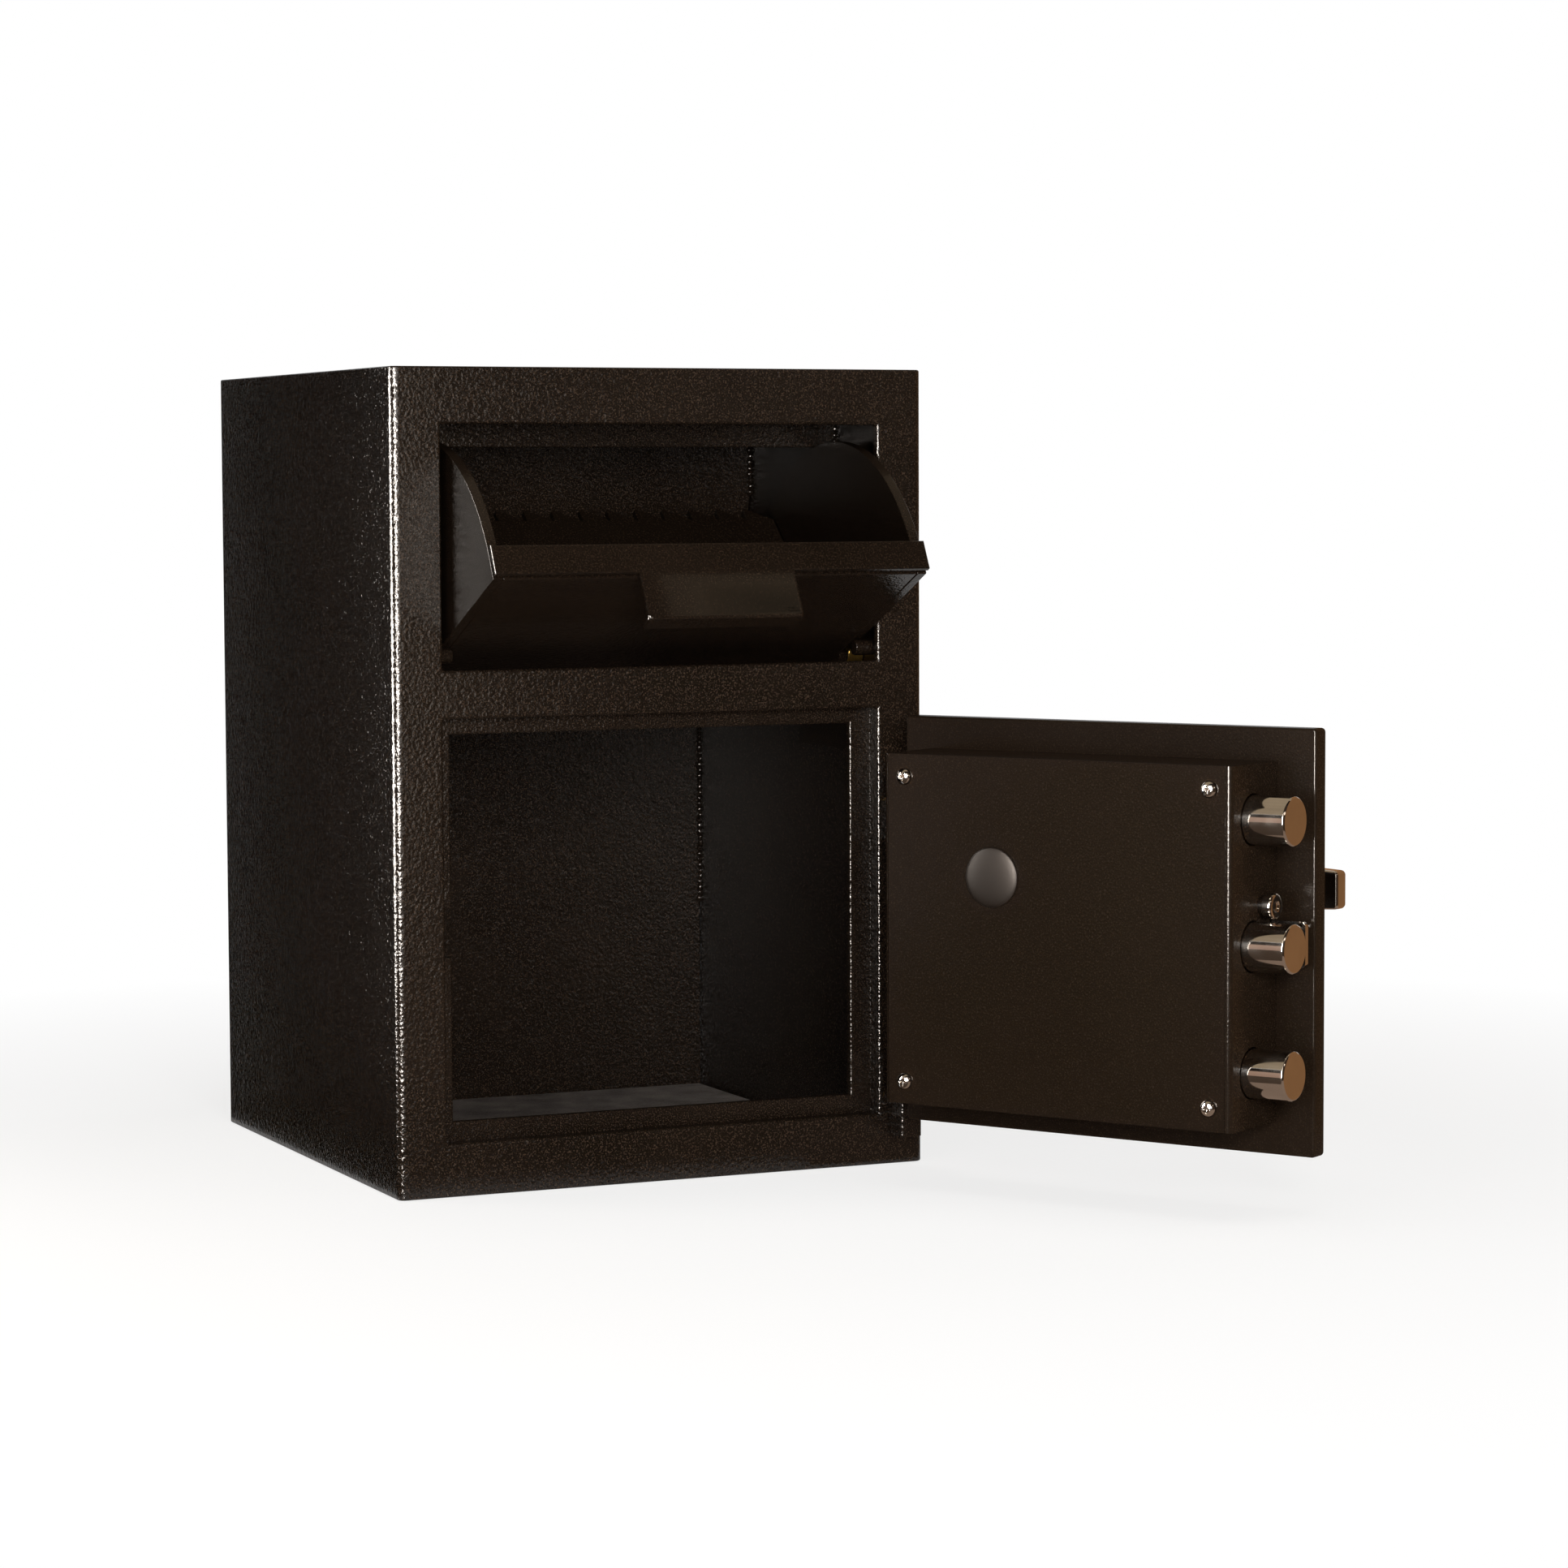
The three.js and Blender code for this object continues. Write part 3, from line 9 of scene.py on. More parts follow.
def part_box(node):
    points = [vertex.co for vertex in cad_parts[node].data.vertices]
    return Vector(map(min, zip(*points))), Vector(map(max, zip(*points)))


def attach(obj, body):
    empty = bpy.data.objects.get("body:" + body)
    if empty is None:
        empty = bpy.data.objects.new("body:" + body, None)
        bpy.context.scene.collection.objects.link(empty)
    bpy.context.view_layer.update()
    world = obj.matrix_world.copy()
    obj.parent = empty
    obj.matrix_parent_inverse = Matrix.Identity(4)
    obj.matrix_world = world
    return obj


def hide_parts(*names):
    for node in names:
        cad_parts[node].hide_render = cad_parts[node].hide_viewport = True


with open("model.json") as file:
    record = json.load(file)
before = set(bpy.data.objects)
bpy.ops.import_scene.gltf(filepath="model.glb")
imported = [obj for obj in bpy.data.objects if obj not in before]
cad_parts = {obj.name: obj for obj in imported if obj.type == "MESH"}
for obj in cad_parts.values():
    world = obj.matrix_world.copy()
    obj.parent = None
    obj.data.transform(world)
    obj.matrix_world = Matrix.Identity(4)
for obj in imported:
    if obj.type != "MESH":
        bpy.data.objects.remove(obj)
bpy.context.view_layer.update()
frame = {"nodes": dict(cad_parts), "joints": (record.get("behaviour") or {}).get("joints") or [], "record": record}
print("frame loaded")

mm = 0.001
joints = {joint["name"]: joint for joint in frame["joints"]}
doorPin = Vector(joints["door_hinge"]["pos_m"])
doorPin.z = 0
doorOpen = math.radians(joints["door_hinge"]["range_deg"][1])
doorMatrix = Matrix.Translation(doorPin) @ Matrix.Rotation(doorOpen, 4, "Z")  # from closed to as pictured


# Colour and node helpers
def linear(hexColour):
    channels = []
    for i in (0, 2, 4):
        value = int(hexColour[i:i + 2], 16) / 255
        channels.append(value / 12.92 if value <= 0.04045 else ((value + 0.055) / 1.055) ** 2.4)
    return (*channels, 1)


def add(tree, kind, settings=None, **inputs):
    # An input is a value, or an output socket to link from. In its name _ stands for a space, and in0 is
    # the first input.
    node = tree.nodes.new(kind)
    for key, value in (settings or {}).items():
        setattr(node, key, value)
    for key, value in inputs.items():
        numbered = key.startswith("in") and key[2:].isdigit()
        socket = node.inputs[int(key[2:]) if numbered else key.replace("_", " ")]
        if isinstance(value, bpy.types.NodeSocket):
            tree.links.new(value, socket)
        else:
            socket.default_value = value
    return node


def noise(tree, place, scale, detail, **more):
    return add(tree, "ShaderNodeTexNoise", None, Vector=place, Scale=scale, Detail=detail, **more).outputs[0]


def maths(tree, operation, *values):
    inputs = {f"in{order}": value for order, value in enumerate(values)}
    return add(tree, "ShaderNodeMath", {"operation": operation}, **inputs).outputs[0]


def ramp(tree, value, low, high, toLow=0, toHigh=1):
    return add(tree, "ShaderNodeMapRange", None, Value=value, From_Min=low, From_Max=high,
               To_Min=toLow, To_Max=toHigh).outputs[0]


def blendColours(tree, factor, first, second):
    return add(tree, "ShaderNodeMix", {"data_type": "RGBA"}, in0=factor, in6=first, in7=second).outputs[2]


def newMaterial(name):
    material = bpy.data.materials.new(name)
    material.use_nodes = True
    tree = material.node_tree
    tree.nodes.clear()
    shader = tree.nodes.new("ShaderNodeBsdfPrincipled")
    output = tree.nodes.new("ShaderNodeOutputMaterial")
    tree.links.new(shader.outputs[0], output.inputs[0])
    place = tree.nodes.new("ShaderNodeTexCoord").outputs["Object"]
    return material, tree, shader, place


def dress(tree, shader, **looks):
    # Sets the shader's own sockets, or links them where the look varies over the surface
    for key, value in looks.items():
        socket = shader.inputs[key.replace("_", " ")]
        if isinstance(value, bpy.types.NodeSocket):
            tree.links.new(value, socket)
        else:
            socket.default_value = value


def bumped(tree, strength, depth, height):
    return add(tree, "ShaderNodeBump", None, Strength=strength, Distance=depth, Height=height).outputs[0]


# Materials. A size is a real one in metres, and a scale is how many times a pattern repeats in a metre.
enamelLook = {
    "colour": "150f0a",
    "worn": "1b140e",
    # painted highlight: a lighter colour painted on the speck peaks, over this range of the speck pattern, as
    # glints
    "glint": "3d3026",
    "glintRange": (0.54, 0.72),
    "grainSize": 1.9 * mm,
    "peelDepth": 0.4 * mm,
    "pitShare": -0.6,
    "speckSize": 0.9 * mm,
    "speckShare": 0.3,
    "cloudScale": 9,
    "roughness": 0.5,
    "coat": 0.5,
    "coatRoughness": 0.13,
}
# each look below gives its own painted-highlight colour for the speck peaks
fineLook = {**enamelLook, "colour": "1c140d", "worn": "1f1710", "glint": "2e241b", "grainSize": 1.1 * mm,
            "peelDepth": 0.07 * mm, "coat": 0.3, "coatRoughness": 0.14}
glossyLook = {**enamelLook, "glint": "2c2118", "grainSize": 1.6 * mm, "peelDepth": 0.16 * mm,
              "coatRoughness": 0.1}
dialPaintLook = {**enamelLook, "colour": "121110", "worn": "181615", "glint": "201e1c",
                 "grainSize": 0.9 * mm, "peelDepth": 0.02 * mm, "coatRoughness": 0.3}


def bakedTexturedEnamel(name, look):
    # Baked enamel on steel: a warm black under thin clear gloss, whose orange peel breaks highlights up. A lighter
    # colour on the speck peaks is a painted highlight: glints painted into the base colour, which show in any
    # light and in shade too
    material, tree, shader, place = newMaterial(name)
    peel = noise(tree, place, 1 / look["grainSize"], 2)
    pits = add(tree, "ShaderNodeTexVoronoi", {"feature": "SMOOTH_F1"}, Vector=place,
               Scale=0.8 / look["grainSize"], Smoothness=0.7).outputs[0]
    specks = noise(tree, place, 1 / look["speckSize"], 2)
    clouds = noise(tree, place, look["cloudScale"], 4)
    height = maths(tree, "MULTIPLY_ADD", pits, look["pitShare"], peel)
    height = maths(tree, "MULTIPLY_ADD", specks, look["speckShare"], height)
    relief = bumped(tree, 1, look["peelDepth"], height)
    tint = blendColours(tree, ramp(tree, clouds, 0.35, 0.7), linear(look["colour"]), linear(look["worn"]))
    # painted highlight: the speck peaks take the lighter glint colour in place of real glints of light
    paintedGlintShare = ramp(tree, specks, *look["glintRange"])
    dress(tree, shader, Base_Color=blendColours(tree, paintedGlintShare, tint, linear(look["glint"])),
          Roughness=look["roughness"], Specular_IOR_Level=0, Coat_Weight=look["coat"],
          Coat_Roughness=look["coatRoughness"], Normal=relief, Coat_Normal=relief)
    return material


chromeLook = {"bright": "d2cfcb", "dull": "bcb8b2", "hazeScale": 60, "markSize": 0.8 * mm,
              "markDepth": 0.02 * mm, "roughness": (0.06, 0.16)}


def polishedChrome(name, look):
    # Bright chrome plate: near mirror, with faint turning marks and finger haze
    material, tree, shader, place = newMaterial(name)
    haze = noise(tree, place, look["hazeScale"], 5)
    marks = noise(tree, place, 1 / look["markSize"], 2)
    dress(tree, shader, Metallic=1, Roughness=ramp(tree, haze, 0.35, 0.75, *look["roughness"]),
          Base_Color=blendColours(tree, haze, linear(look["bright"]), linear(look["dull"])),
          Normal=bumped(tree, 0.2, look["markDepth"], marks))
    return material


zincLook = {"bright": "a9a89e", "dull": "8d8a84", "bloomScale": 140, "roughness": (0.28, 0.45)}


def brightZinc(name, look):
    # Zinc-plated steel: greyer and softer than chrome, with a mottled passivated bloom
    material, tree, shader, place = newMaterial(name)
    bloom = noise(tree, place, look["bloomScale"], 4)
    dress(tree, shader, Metallic=1, Roughness=ramp(tree, bloom, 0.3, 0.7, *look["roughness"]),
          Base_Color=blendColours(tree, bloom, linear(look["bright"]), linear(look["dull"])))
    return material


brassLook = {"bright": "b5944f", "dull": "9a7a3c", "markSize": 1.2 * mm, "roughness": (0.25, 0.4)}


def turnedBrass(name, look):
    # Machined brass: warm, with fine tool marks
    material, tree, shader, place = newMaterial(name)
    marks = noise(tree, place, 1 / look["markSize"], 3)
    dress(tree, shader, Metallic=1, Roughness=ramp(tree, marks, 0.3, 0.7, *look["roughness"]),
          Base_Color=blendColours(tree, marks, linear(look["bright"]), linear(look["dull"])))
    return material


plasticLook = {"dark": "1a130e", "pale": "211913", "grainSize": 0.5 * mm, "grainDepth": 0.03 * mm,
               "roughness": (0.34, 0.44), "specular": 0.08}


def mouldedPlastic(name, look):
    # Moulded black polyethylene: soft satin sheen with a faint mould grain
    material, tree, shader, place = newMaterial(name)
    grain = noise(tree, place, 1 / look["grainSize"], 3)
    dress(tree, shader, Base_Color=blendColours(tree, grain, linear(look["dark"]), linear(look["pale"])),
          Roughness=ramp(tree, grain, 0.3, 0.7, *look["roughness"]), Specular_IOR_Level=look["specular"],
          Normal=bumped(tree, 0.3, look["grainDepth"], grain))
    return material


feltLook = {"dark": "231f1d", "pale": "857b74", "fibreSize": 1.1 * mm, "fibreDepth": 0.5 * mm,
            "patchScale": 45, "patchShare": 0.5, "roughness": 0.95, "specular": 0.15}


def needleFelt(name, look):
    # Charcoal needle-punched felt: matted fibres, no gloss
    material, tree, shader, place = newMaterial(name)
    fibres = noise(tree, place, 1 / look["fibreSize"], 6, Roughness=0.75, Distortion=1.5)
    patches = noise(tree, place, look["patchScale"], 3)
    matted = ramp(tree, maths(tree, "MULTIPLY_ADD", patches, look["patchShare"], fibres), 0.5, 1)
    dress(tree, shader, Base_Color=blendColours(tree, matted, linear(look["dark"]), linear(look["pale"])),
          Roughness=look["roughness"], Specular_IOR_Level=look["specular"],
          Normal=bumped(tree, 0.9, look["fibreDepth"], fibres))
    return material


inkLook = {"colour": "e8e5dd", "thin": "cfccc4", "thinSize": 0.3 * mm, "roughness": 0.6}


def markingPaint(name, look):
    # Baked marking paint: flat and slightly chalky, with tiny thin spots
    material, tree, shader, place = newMaterial(name)
    thin = noise(tree, place, 1 / look["thinSize"], 2)
    dress(tree, shader, Base_Color=blendColours(tree, thin, linear(look["colour"]), linear(look["thin"])),
          Roughness=look["roughness"])
    return material


bodyEnamel = bakedTexturedEnamel("texturedBlackEnamel", enamelLook)
fineEnamel = bakedTexturedEnamel("fineBlackEnamel", fineLook)
drawerEnamel = bakedTexturedEnamel("glossyBlackEnamel", glossyLook)
dialEnamel = bakedTexturedEnamel("satinDialBlack", dialPaintLook)
chrome = polishedChrome("polishedChrome", chromeLook)
zinc = brightZinc("brightZincPlate", zincLook)
brass = turnedBrass("turnedBrass", brassLook)
plastic = mouldedPlastic("mouldedBlackPlastic", plasticLook)
felt = needleFelt("charcoalNeedleFelt", feltLook)
whiteInk = markingPaint("whiteMarkingPaint", inkLook)
print("materials made")

# Each finish with the record's slot, the width in millimetres that edges are eased by, and its nodes
finishes = {
    bodyEnamel: ("black_enamel", 0.9, [
        "body_wrap", "top_plate", "back_plate", "bottom_plate", "door_stop_frame", "lower_hinge_block",
        "upper_hinge_block", "lower_hinge_ear", "upper_hinge_ear", "drawer_header", "baffle_plate"]),
    drawerEnamel: ("black_enamel", 0.7, [
        "left_drawer_side_plate", "right_drawer_side_plate", "left_drawer_cheek",
        "left_drawer_stop_peg", "right_drawer_stop_peg", "drawer_panel", "drawer_lip",
        "toothed_back_plate", "right_drawer_cheek"]),
    fineEnamel: ("black_enamel", 0.5, ["boltwork_frame", "boltwork_cover", "door_plate"]),
    chrome: ("chrome", 0.35, [
        "cover_screw_1", "cover_screw_2", "cover_screw_3", "cover_screw_4", "stop_stud", "dial_ring",
        "handle_rose", "handle_lever", "locking_bolt_1", "locking_bolt_2", "locking_bolt_3",
        "bolt_carrier"]),
    zinc: ("zinc", 0.3, [
        "left_pivot_pin", "right_pivot_pin", "lower_hinge_pin", "upper_hinge_pin", "guide_post_1",
        "guide_post_2", "lock_body", "handle_spindle", "handle_cam", "cam_retainer", "bolt_screw_1",
        "bolt_screw_2", "bolt_screw_3", "dial_spindle"]),
    brass: ("brass", 0.3, [
        "left_pivot_bush", "right_pivot_bush", "lower_hinge_washer", "upper_hinge_washer", "lock_bolt"]),
    plastic: ("black_plastic", 0.4, ["hole_plug"]),
    dialEnamel: ("dial_black", 0.4, ["lock_dial"]),
    felt: ("grey_carpet", 0.3, ["floor_mat"]),
}
ownWidths = {"body_wrap": 1.2, "door_plate": 0.7, "drawer_lip": 0.35, "left_drawer_cheek": 0.35,
             "door_stop_frame": 1.0, "boltwork_frame": 0.6, "bolt_carrier": 0.5,
             "toothed_back_plate": 0.6, "boltwork_cover": 0.4}
easeLook = {"mergeWithin": 0.02 * mm, "flatWithin": 0.6, "fromAngle": 38, "segments": 3}
keptFacets = ("bolt_carrier", "door_stop_frame")  # their flat faces hold openings, so facets aren't joined


def easedPiece(node, body, width, material):
    # The node's own mesh with its facets joined, its edges eased and its flat faces shaded flat
    mesh = frame["nodes"][node].data.copy()
    piece = bpy.data.objects.new(node + "_eased", mesh)
    bpy.context.scene.collection.objects.link(piece)
    work = bmesh.new()
    work.from_mesh(mesh)
    bmesh.ops.remove_doubles(work, verts=work.verts, dist=easeLook["mergeWithin"])
    if node not in keptFacets:
        bmesh.ops.dissolve_limit(work, angle_limit=math.radians(easeLook["flatWithin"]),
                                 verts=work.verts, edges=work.edges)
    for face in work.faces:
        face.smooth = True
        face.material_index = 0
    work.to_mesh(mesh)
    work.free()
    mesh.materials.clear()
    mesh.materials.append(material)
    bevel = piece.modifiers.new("easedEdges", "BEVEL")
    bevel.width = width * mm
    bevel.segments = easeLook["segments"]
    bevel.limit_method = "ANGLE"
    bevel.angle_limit = math.radians(easeLook["fromAngle"])
    bevel.use_clamp_overlap = True
    piece.modifiers.new("trueNormals", "WEIGHTED_NORMAL").weight = 100
    evaluated = piece.evaluated_get(bpy.context.evaluated_depsgraph_get())
    finished = bpy.data.meshes.new_from_object(evaluated)
    piece.modifiers.clear()
    piece.data = finished
    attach(piece, body)
    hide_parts(node)


nodeBody = {}
for bodyName, members in frame["record"]["behaviour"]["bodies"].items():
    for member in members:
        nodeBody[member] = bodyName

for material, (slot, width, nodes) in finishes.items():
    for node in nodes:
        easedPiece(node, nodeBody[node], ownWidths.get(node, width), material)
print("node pieces finished")


def newTree(name, **inputs):
    # A Geometry Nodes tree with a named input for each size, and the sockets that give them
    tree = bpy.data.node_groups.new(name, "GeometryNodeTree")
    tree.interface.new_socket("Geometry", in_out="OUTPUT", socket_type="NodeSocketGeometry")
    for label, kind in inputs.items():
        tree.interface.new_socket(label.replace("_", " "), in_out="INPUT", socket_type="NodeSocket" + kind)
    return tree, add(tree, "NodeGroupInput").outputs


def grownMesh(name, tree, values):
    # What the tree makes from these values, as a plain mesh on an object of its own
    piece = bpy.data.objects.new(name, bpy.data.meshes.new(name))
    bpy.context.scene.collection.objects.link(piece)
    modifier = piece.modifiers.new("grown", "NODES")
    modifier.node_group = tree
    for item in tree.interface.items_tree:
        if item.in_out == "INPUT":
            modifier[item.identifier] = values[item.name]
    evaluated = piece.evaluated_get(bpy.context.evaluated_depsgraph_get())
    piece.data = bpy.data.meshes.new_from_object(evaluated)
    piece.modifiers.clear()
    return piece


# Weld beads: overlapping ripples along a seam
weldLook = {
    "ripple": 3.9 * mm,
    "seed": 11,
    "smallest": (0.8, 0.8, 0.7),
    "largest": (1.25, 1.25, 1.2),
    "standOff": 0.3 * mm,
    "wall": 6.35 * mm,
    "baffleHeights": (0.4306, 0.495),
    "cornerHeights": (0.14, 0.272),
    "headerLength": 12 * mm,
}


def weldTree():
    tree, given = newTree("weldBead", Start="Vector", End="Vector", Radius="Float", Ripple="Float",
                          Seed="Int")
    path = add(tree, "GeometryNodeCurvePrimitiveLine", None, Start=given["Start"], End=given["End"])
    steps = add(tree, "GeometryNodeResampleCurve", {"mode": "LENGTH"}, Curve=path.outputs[0],
                Length=given["Ripple"])
    drop = add(tree, "GeometryNodeMeshIcoSphere", None, Radius=given["Radius"], Subdivisions=2)
    wander = add(tree, "FunctionNodeRandomValue", {"data_type": "FLOAT_VECTOR"}, in0=weldLook["smallest"],
                 in1=weldLook["largest"], Seed=given["Seed"])
    beads = add(tree, "GeometryNodeInstanceOnPoints", None, Points=steps.outputs[0],
                Instance=drop.outputs[0], Scale=wander.outputs[0])
    real = add(tree, "GeometryNodeRealizeInstances", None, Geometry=beads.outputs[0])
    smooth = add(tree, "GeometryNodeSetShadeSmooth", None, Geometry=real.outputs[0])
    dressed = add(tree, "GeometryNodeSetMaterial", None, Geometry=smooth.outputs[0], Material=bodyEnamel)
    add(tree, "NodeGroupOutput", None, Geometry=dressed.outputs[0])
    return tree


def weldBeads():
    tree = weldTree()
    baffle, header, back = (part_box(node)[0] for node in ("baffle_plate", "drawer_header", "back_plate"))
    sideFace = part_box("right_drawer_side_plate")[0].x - weldLook["standOff"]
    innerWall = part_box("body_wrap")[1].x - weldLook["wall"]
    headerHeights = (header.z, header.z + weldLook["headerLength"])
    seams = {
        "baffle_weld": (sideFace, baffle.y, weldLook["baffleHeights"], 2.6 * mm),
        "back_corner_weld": (innerWall, back.y, weldLook["cornerHeights"], 2.7 * mm),
        "header_weld": (sideFace, header.y, headerHeights, 1.8 * mm),
    }
    for order, (name, (x, y, (low, high), radius)) in enumerate(seams.items()):
        bead = grownMesh(name, tree, {"Start": (x, y, low), "End": (x, y, high), "Radius": radius,
                                      "Ripple": weldLook["ripple"], "Seed": weldLook["seed"] + order})
        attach(bead, "body")


weldBeads()
print("weld beads made")

# Dial marks: graduations on the cone's outer edge, a long one at every tenth, and plain numbers there.
# They are laid out on the closed door, where outward is -y, and then swung to the photographed door.
dialLook = {
    "marks": 100,
    "longEvery": 10,
    "innerRadius": 30.0 * mm,
    "shortMark": 2.4 * mm,
    "longMark": 3.8 * mm,
    "markWidth": 0.45 * mm,
    "markDepth": 0.06 * mm,
    "numberSize": 4.6 * mm,
    "numberDepth": 0.02 * mm,
    "numberRadius": 25.6 * mm,
    "lift": 0.06 * mm,
    "sink": 0.02 * mm,
    "centre": (-0.1147, 0, 0.1973),
    "coneOuter": (34.5 * mm, -2.1 * mm),
    "coneInner": (20.5 * mm, -9.6 * mm),
}
coneOuter, coneInner = dialLook["coneOuter"], dialLook["coneInner"]  # radius and y
coneSlope = (coneInner[1] - coneOuter[1]) / (coneInner[0] - coneOuter[0])


def onCone(x, z, raised):
    # A place on the cone's face, or off it by this much in y, with the door open
    y = coneOuter[1] + (math.hypot(x, z) - coneOuter[0]) * coneSlope
    return doorMatrix @ (Vector((x, y + raised, z)) + Vector(dialLook["centre"]))


def marksTree():
    tree, given = newTree("dialGraduations", Marks="Int", Long_Every="Int", Inner_Radius="Float",
                          Short_Mark="Float", Long_Mark="Float", Mark_Width="Float", Mark_Depth="Float",
                          Lean="Float")
    count = given["Marks"]
    points = add(tree, "GeometryNodeMeshLine", None, Count=count, Offset=(0, 0, 0))
    index = add(tree, "GeometryNodeInputIndex").outputs[0]
    turn = maths(tree, "MULTIPLY", maths(tree, "DIVIDE", index, count), 2 * math.pi)
    isLong = maths(tree, "LESS_THAN", maths(tree, "MODULO", index, given["Long Every"]), 0.5)
    length = ramp(tree, isLong, 0, 1, given["Short Mark"], given["Long Mark"])
    out = maths(tree, "ADD", maths(tree, "MULTIPLY", length, 0.5), given["Inner Radius"])
    bar = add(tree, "GeometryNodeMeshCube", None, Size=(1, 1, 1)).outputs[0]
    size = add(tree, "ShaderNodeCombineXYZ", None, X=length, Y=given["Mark Depth"], Z=given["Mark Width"])
    shift = add(tree, "ShaderNodeCombineXYZ", None, X=out)
    lean = add(tree, "ShaderNodeCombineXYZ", None, Z=given["Lean"])
    spin = add(tree, "ShaderNodeCombineXYZ", None, Y=turn)
    bars = add(tree, "GeometryNodeInstanceOnPoints", None, Points=points.outputs[0], Instance=bar,
               Scale=size.outputs[0])
    placed = add(tree, "GeometryNodeTranslateInstances", None, Instances=bars.outputs[0],
                 Translation=shift.outputs[0], Local_Space=False)
    leant = add(tree, "GeometryNodeRotateInstances", None, Instances=placed.outputs[0],
                Rotation=lean.outputs[0], Local_Space=True)
    spun = add(tree, "GeometryNodeRotateInstances", None, Instances=leant.outputs[0],
               Rotation=spin.outputs[0], Local_Space=False)
    real = add(tree, "GeometryNodeRealizeInstances", None, Geometry=spun.outputs[0])
    inked = add(tree, "GeometryNodeSetMaterial", None, Geometry=real.outputs[0], Material=whiteInk)
    add(tree, "NodeGroupOutput", None, Geometry=inked.outputs[0])
    return tree


def dialMarks():
    marks = grownMesh("dial_graduations", marksTree(), {
        "Marks": dialLook["marks"], "Long Every": dialLook["longEvery"],
        "Inner Radius": dialLook["innerRadius"], "Short Mark": dialLook["shortMark"],
        "Long Mark": dialLook["longMark"], "Mark Width": dialLook["markWidth"],
        "Mark Depth": dialLook["markDepth"], "Lean": math.atan(coneSlope)})
    for vertex in marks.data.vertices:
        raised = dialLook["sink"] if vertex.co.y > 0 else -dialLook["lift"]
        vertex.co = onCone(vertex.co.x, vertex.co.z, raised)
    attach(marks, "dial")


def dialNumbers():
    joined = bmesh.new()
    for number in range(0, dialLook["marks"], dialLook["longEvery"]):
        curve = bpy.data.curves.new("number", "FONT")
        curve.body = str(number)
        curve.size = dialLook["numberSize"]
        curve.align_x = "CENTER"
        curve.align_y = "CENTER"
        curve.extrude = dialLook["numberDepth"]
        label = bpy.data.objects.new("number", curve)
        bpy.context.scene.collection.objects.link(label)
        mesh = bpy.data.meshes.new_from_object(label.evaluated_get(bpy.context.evaluated_depsgraph_get()))
        bpy.data.objects.remove(label)
        turn = 2 * math.pi * number / dialLook["marks"]
        for vertex in mesh.vertices:
            across, outward = vertex.co.x, vertex.co.y + dialLook["numberRadius"]
            x = across * math.cos(turn) + outward * math.sin(turn)
            z = outward * math.cos(turn) - across * math.sin(turn)
            vertex.co = onCone(x, z, -dialLook["lift"] - vertex.co.z)
        joined.from_mesh(mesh)
        bpy.data.meshes.remove(mesh)
    mesh = bpy.data.meshes.new("dial_numbers")
    joined.to_mesh(mesh)
    joined.free()
    mesh.materials.append(whiteInk)
    numbers = bpy.data.objects.new("dial_numbers", mesh)
    bpy.context.scene.collection.objects.link(numbers)
    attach(numbers, "dial")


dialMarks()
dialNumbers()
print("dial marked")

# Stage, light and camera
stageLook = {
    "floorSize": 30.0,
    "floorPlace": (0.1, -0.1, -0.0004),
    "paper": "f2f1ef",
    "fleck": "e9e8e5",
    "fleckScale": 300,
    "shadowReach": 0.45,
    "whiteFrom": 1.1,
    "nearWhite": 0.75,
    "room": "a9a39d",
    "roomStrength": 0.5,
}
lampLook = {
    "frontSoft": {"place": (-0.5, -2.3, 0.66), "aim": (0.05, -0.18, 0.25), "size": (0.6, 0.6), "watts": 36},
    "fillRight": {"place": (1.9, -2.6, 1.5), "aim": (0.1, -0.1, 0.3), "size": (1.2, 1.2), "watts": 5},
    "topSoft": {"place": (0.2, -0.5, 2.6), "aim": (0, 0, 0.2), "size": (1.6, 1.6), "watts": 22},
}
# Upright boards, which only gloss sees: corners in plan, height range, colour and strength
uprightLook = {
    "edgeGlowBack": (((-0.62, 0.24), (-0.86, 0.0)), (0.08, 0.8), "fff6ec", 95),
    "edgeGlowFront": (((-0.98, -0.88), (-0.75, -1.2)), (0.08, 0.8), "fff6ec", 170),
    "stileGlow": (((-0.34, -0.9), (-0.04, -0.9)), (0.12, 0.72), "ffeedd", 4.5),
    "baffleGlow": (((0.32, -0.89), (0.44, -0.89)), (0.4, 0.48), "e8d5c0", 4),
    "darkFlagBack": (((-0.5, 0.26), (-0.182, 0.26)), (0.001, 1.0), "17110d", 1),
    "pinkCardLeft": (((-3.0, -2.6), (-3.0, 1.6)), (0.001, 1.1), "c9a590", 1),
    "darkFlagLeft": (((-3.0, -2.6), (-3.0, 1.6)), (1.1, 1.9), "241a13", 1),
    "warmCardFront": (((0.0, -0.9), (0.95, -0.9)), (0.001, 0.8), "4a382a", 1),
    "tanCardRight": (((0.95, -0.9), (0.95, 0.6)), (0.001, 0.9), "a87a52", 1),
}
# Level boards, which only gloss sees: ranges in x and y, height and colour
levelLook = {
    "ceilingFront": ((-3.0, 2.9), (-3.6, -0.9), 1.95, "2a2019"),
    "ceilingBack": ((-3.0, 2.9), (-0.9, 1.6), 1.95, "b9a58a"),
    "floorLeft": ((-1.0, -0.18), (-0.2, 0.26), 0.002, "1d1612"),
    "floorFar": ((-3.0, 0.1), (-1.2, -0.2), 0.002, "5a4a3e"),
    "floorNear": ((0.1, 0.6), (-1.2, -0.18), 0.002, "a48c7b"),
    "floorTan": ((0.6, 1.4), (-1.2, 0.6), 0.002, "a87a52"),
}
cameraLook = {
    "place": (-1.00154, -2.58579, 0.43632),
    "right": (0.91197624, -0.41022027, -0.00432058),
    "forward": (0.40889107, 0.90977474, -0.07154024),
    "up": (0.03327801, 0.06347635, 0.99742836),
    "lens": 96.24,
    "sensor": 36,
    "nearest": 0.05,
}


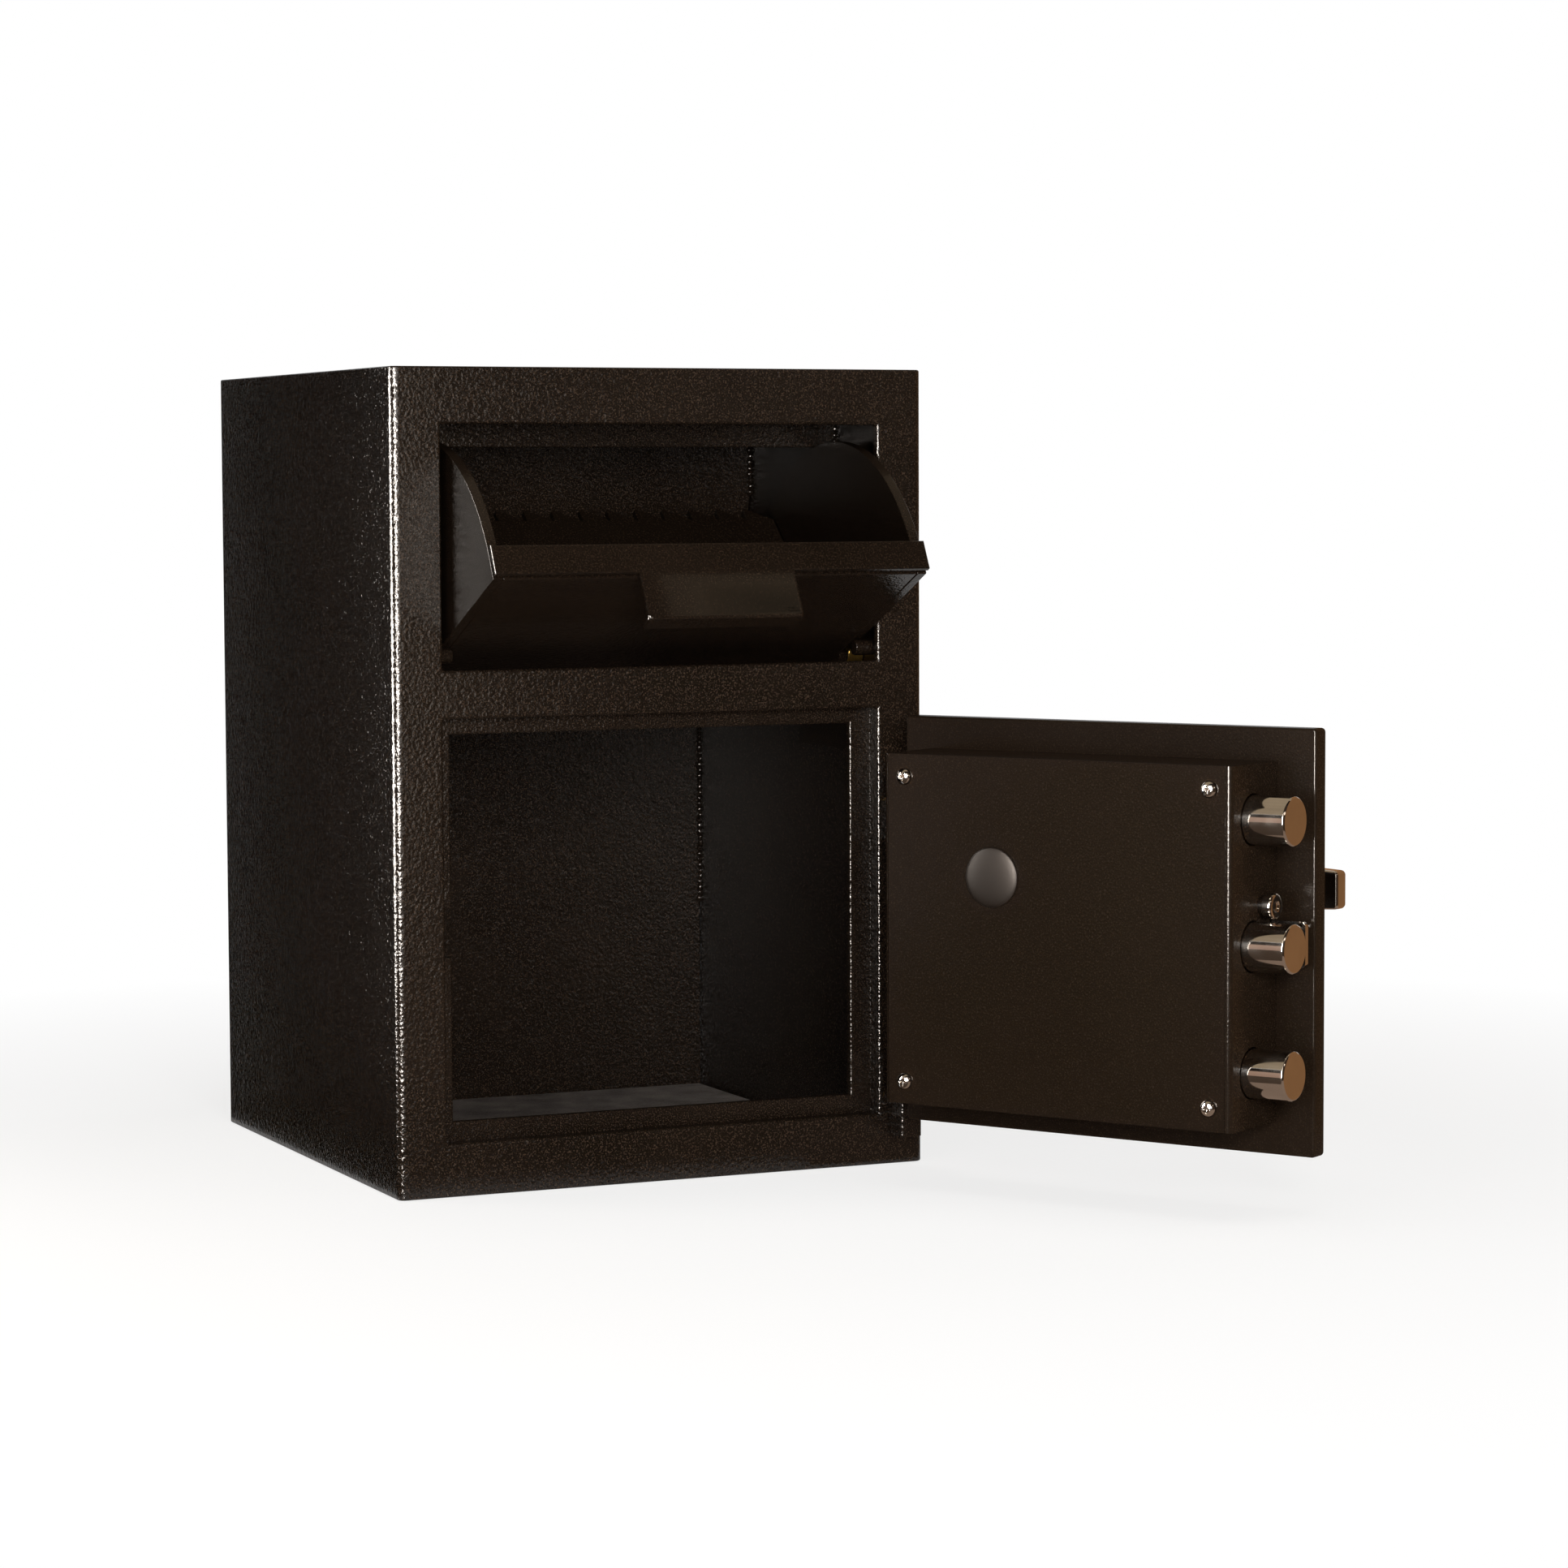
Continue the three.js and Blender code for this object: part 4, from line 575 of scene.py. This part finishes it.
def seenRays(tree):
    rays = add(tree, "ShaderNodeLightPath").outputs
    shiny = maths(tree, "MAXIMUM", rays["Is Glossy Ray"], rays["Is Transmission Ray"])
    return maths(tree, "MAXIMUM", rays["Is Camera Ray"], shiny)


def studioPaper(name, look):
    # Matt white paper that fades to plain white away from the safe, so that only the soft shadow shows
    material, tree, shader, place = newMaterial(name)
    grain = noise(tree, place, look["fleckScale"], 2)
    dress(tree, shader, Base_Color=blendColours(tree, grain, linear(look["paper"]), linear(look["fleck"])),
          Roughness=0.9)
    away = add(tree, "ShaderNodeVectorMath", {"operation": "LENGTH"}, in0=place).outputs["Value"]
    fade = ramp(tree, away, look["shadowReach"], look["whiteFrom"], look["nearWhite"], 1)
    share = maths(tree, "MULTIPLY", fade, seenRays(tree))
    white = add(tree, "ShaderNodeEmission", None, Color=(1, 1, 1, 1), Strength=1).outputs[0]
    mixed = add(tree, "ShaderNodeMixShader", None, in0=share, in1=shader.outputs[0], in2=white)
    tree.links.new(mixed.outputs[0], tree.nodes["Material Output"].inputs[0])
    return material


def studioCard(name, colour, strength):
    # Glowing studio board, unseen by the camera, by shadows and by diffuse light: it lights nothing and shows only
    # in reflections, giving chrome and gloss paint something dark, warm or bright to mirror
    material, tree, shader, place = newMaterial(name)
    shade = (*(0.6 * channel for channel in linear(colour)[:3]), 1)
    wash = blendColours(tree, noise(tree, place, 1.5, 2), linear(colour), shade)
    glow = add(tree, "ShaderNodeEmission", None, Strength=strength, Color=wash).outputs[0]
    tree.links.new(glow, tree.nodes["Material Output"].inputs[0])
    return material


def makeFloor():
    bpy.ops.mesh.primitive_plane_add(size=stageLook["floorSize"], location=stageLook["floorPlace"])
    floor = bpy.context.object
    floor.name = "studioFloor"
    floor.data.materials.append(studioPaper("studioPaper", stageLook))


def addCard(name, corners, colour, strength):
    mesh = bpy.data.meshes.new(name)
    mesh.from_pydata(corners, [], [(0, 1, 2, 3)])
    mesh.materials.append(studioCard(name, colour, strength))
    card = bpy.data.objects.new(name, mesh)
    bpy.context.scene.collection.objects.link(card)
    card.visible_camera = False
    card.visible_shadow = False
    card.visible_diffuse = False


def makeCards():
    for name, (((x0, y0), (x1, y1)), (low, high), colour, strength) in uprightLook.items():
        addCard(name, [(x0, y0, low), (x1, y1, low), (x1, y1, high), (x0, y0, high)], colour, strength)
    for name, ((x0, x1), (y0, y1), z, colour) in levelLook.items():
        addCard(name, [(x0, y0, z), (x1, y0, z), (x1, y1, z), (x0, y1, z)], colour, 1)


def makeLamps():
    for name, look in lampLook.items():
        light = bpy.data.lights.new(name, "AREA")
        light.shape = "RECTANGLE"
        light.energy = look["watts"]
        light.size, light.size_y = look["size"]
        lamp = bpy.data.objects.new(name, light)
        aim = Vector(look["aim"]) - Vector(look["place"])
        turn = aim.to_track_quat("-Z", "Y").to_matrix().to_4x4()
        lamp.matrix_world = Matrix.Translation(look["place"]) @ turn
        bpy.context.scene.collection.objects.link(lamp)


def makeWorld():
    world = bpy.data.worlds.new("studio")
    bpy.context.scene.world = world
    world.use_nodes = True
    tree = world.node_tree
    tree.nodes.clear()
    dim = add(tree, "ShaderNodeBackground", None, Color=linear(stageLook["room"]),
              Strength=stageLook["roomStrength"])
    white = add(tree, "ShaderNodeBackground", None, Color=(1, 1, 1, 1), Strength=1)
    mixed = add(tree, "ShaderNodeMixShader", None, in0=seenRays(tree), in1=dim.outputs[0],
                in2=white.outputs[0])
    add(tree, "ShaderNodeOutputWorld", None, Surface=mixed.outputs[0])


def makeCamera():
    camera = bpy.data.cameras.new("photoCamera")
    camera.sensor_width = cameraLook["sensor"]
    camera.sensor_height = cameraLook["sensor"]
    camera.lens = cameraLook["lens"]
    camera.clip_start = cameraLook["nearest"]
    holder = bpy.data.objects.new("photoCamera", camera)
    columns = [Vector(cameraLook["right"]), Vector(cameraLook["up"]), -Vector(cameraLook["forward"])]
    turn = Matrix(columns).transposed().to_4x4()
    holder.matrix_world = Matrix.Translation(cameraLook["place"]) @ turn
    bpy.context.scene.collection.objects.link(holder)
    bpy.context.scene.camera = holder


makeFloor()
makeCards()
makeLamps()
makeWorld()
makeCamera()
bpy.context.scene.view_settings.view_transform = "Standard"
print("stage, lamps and camera set")
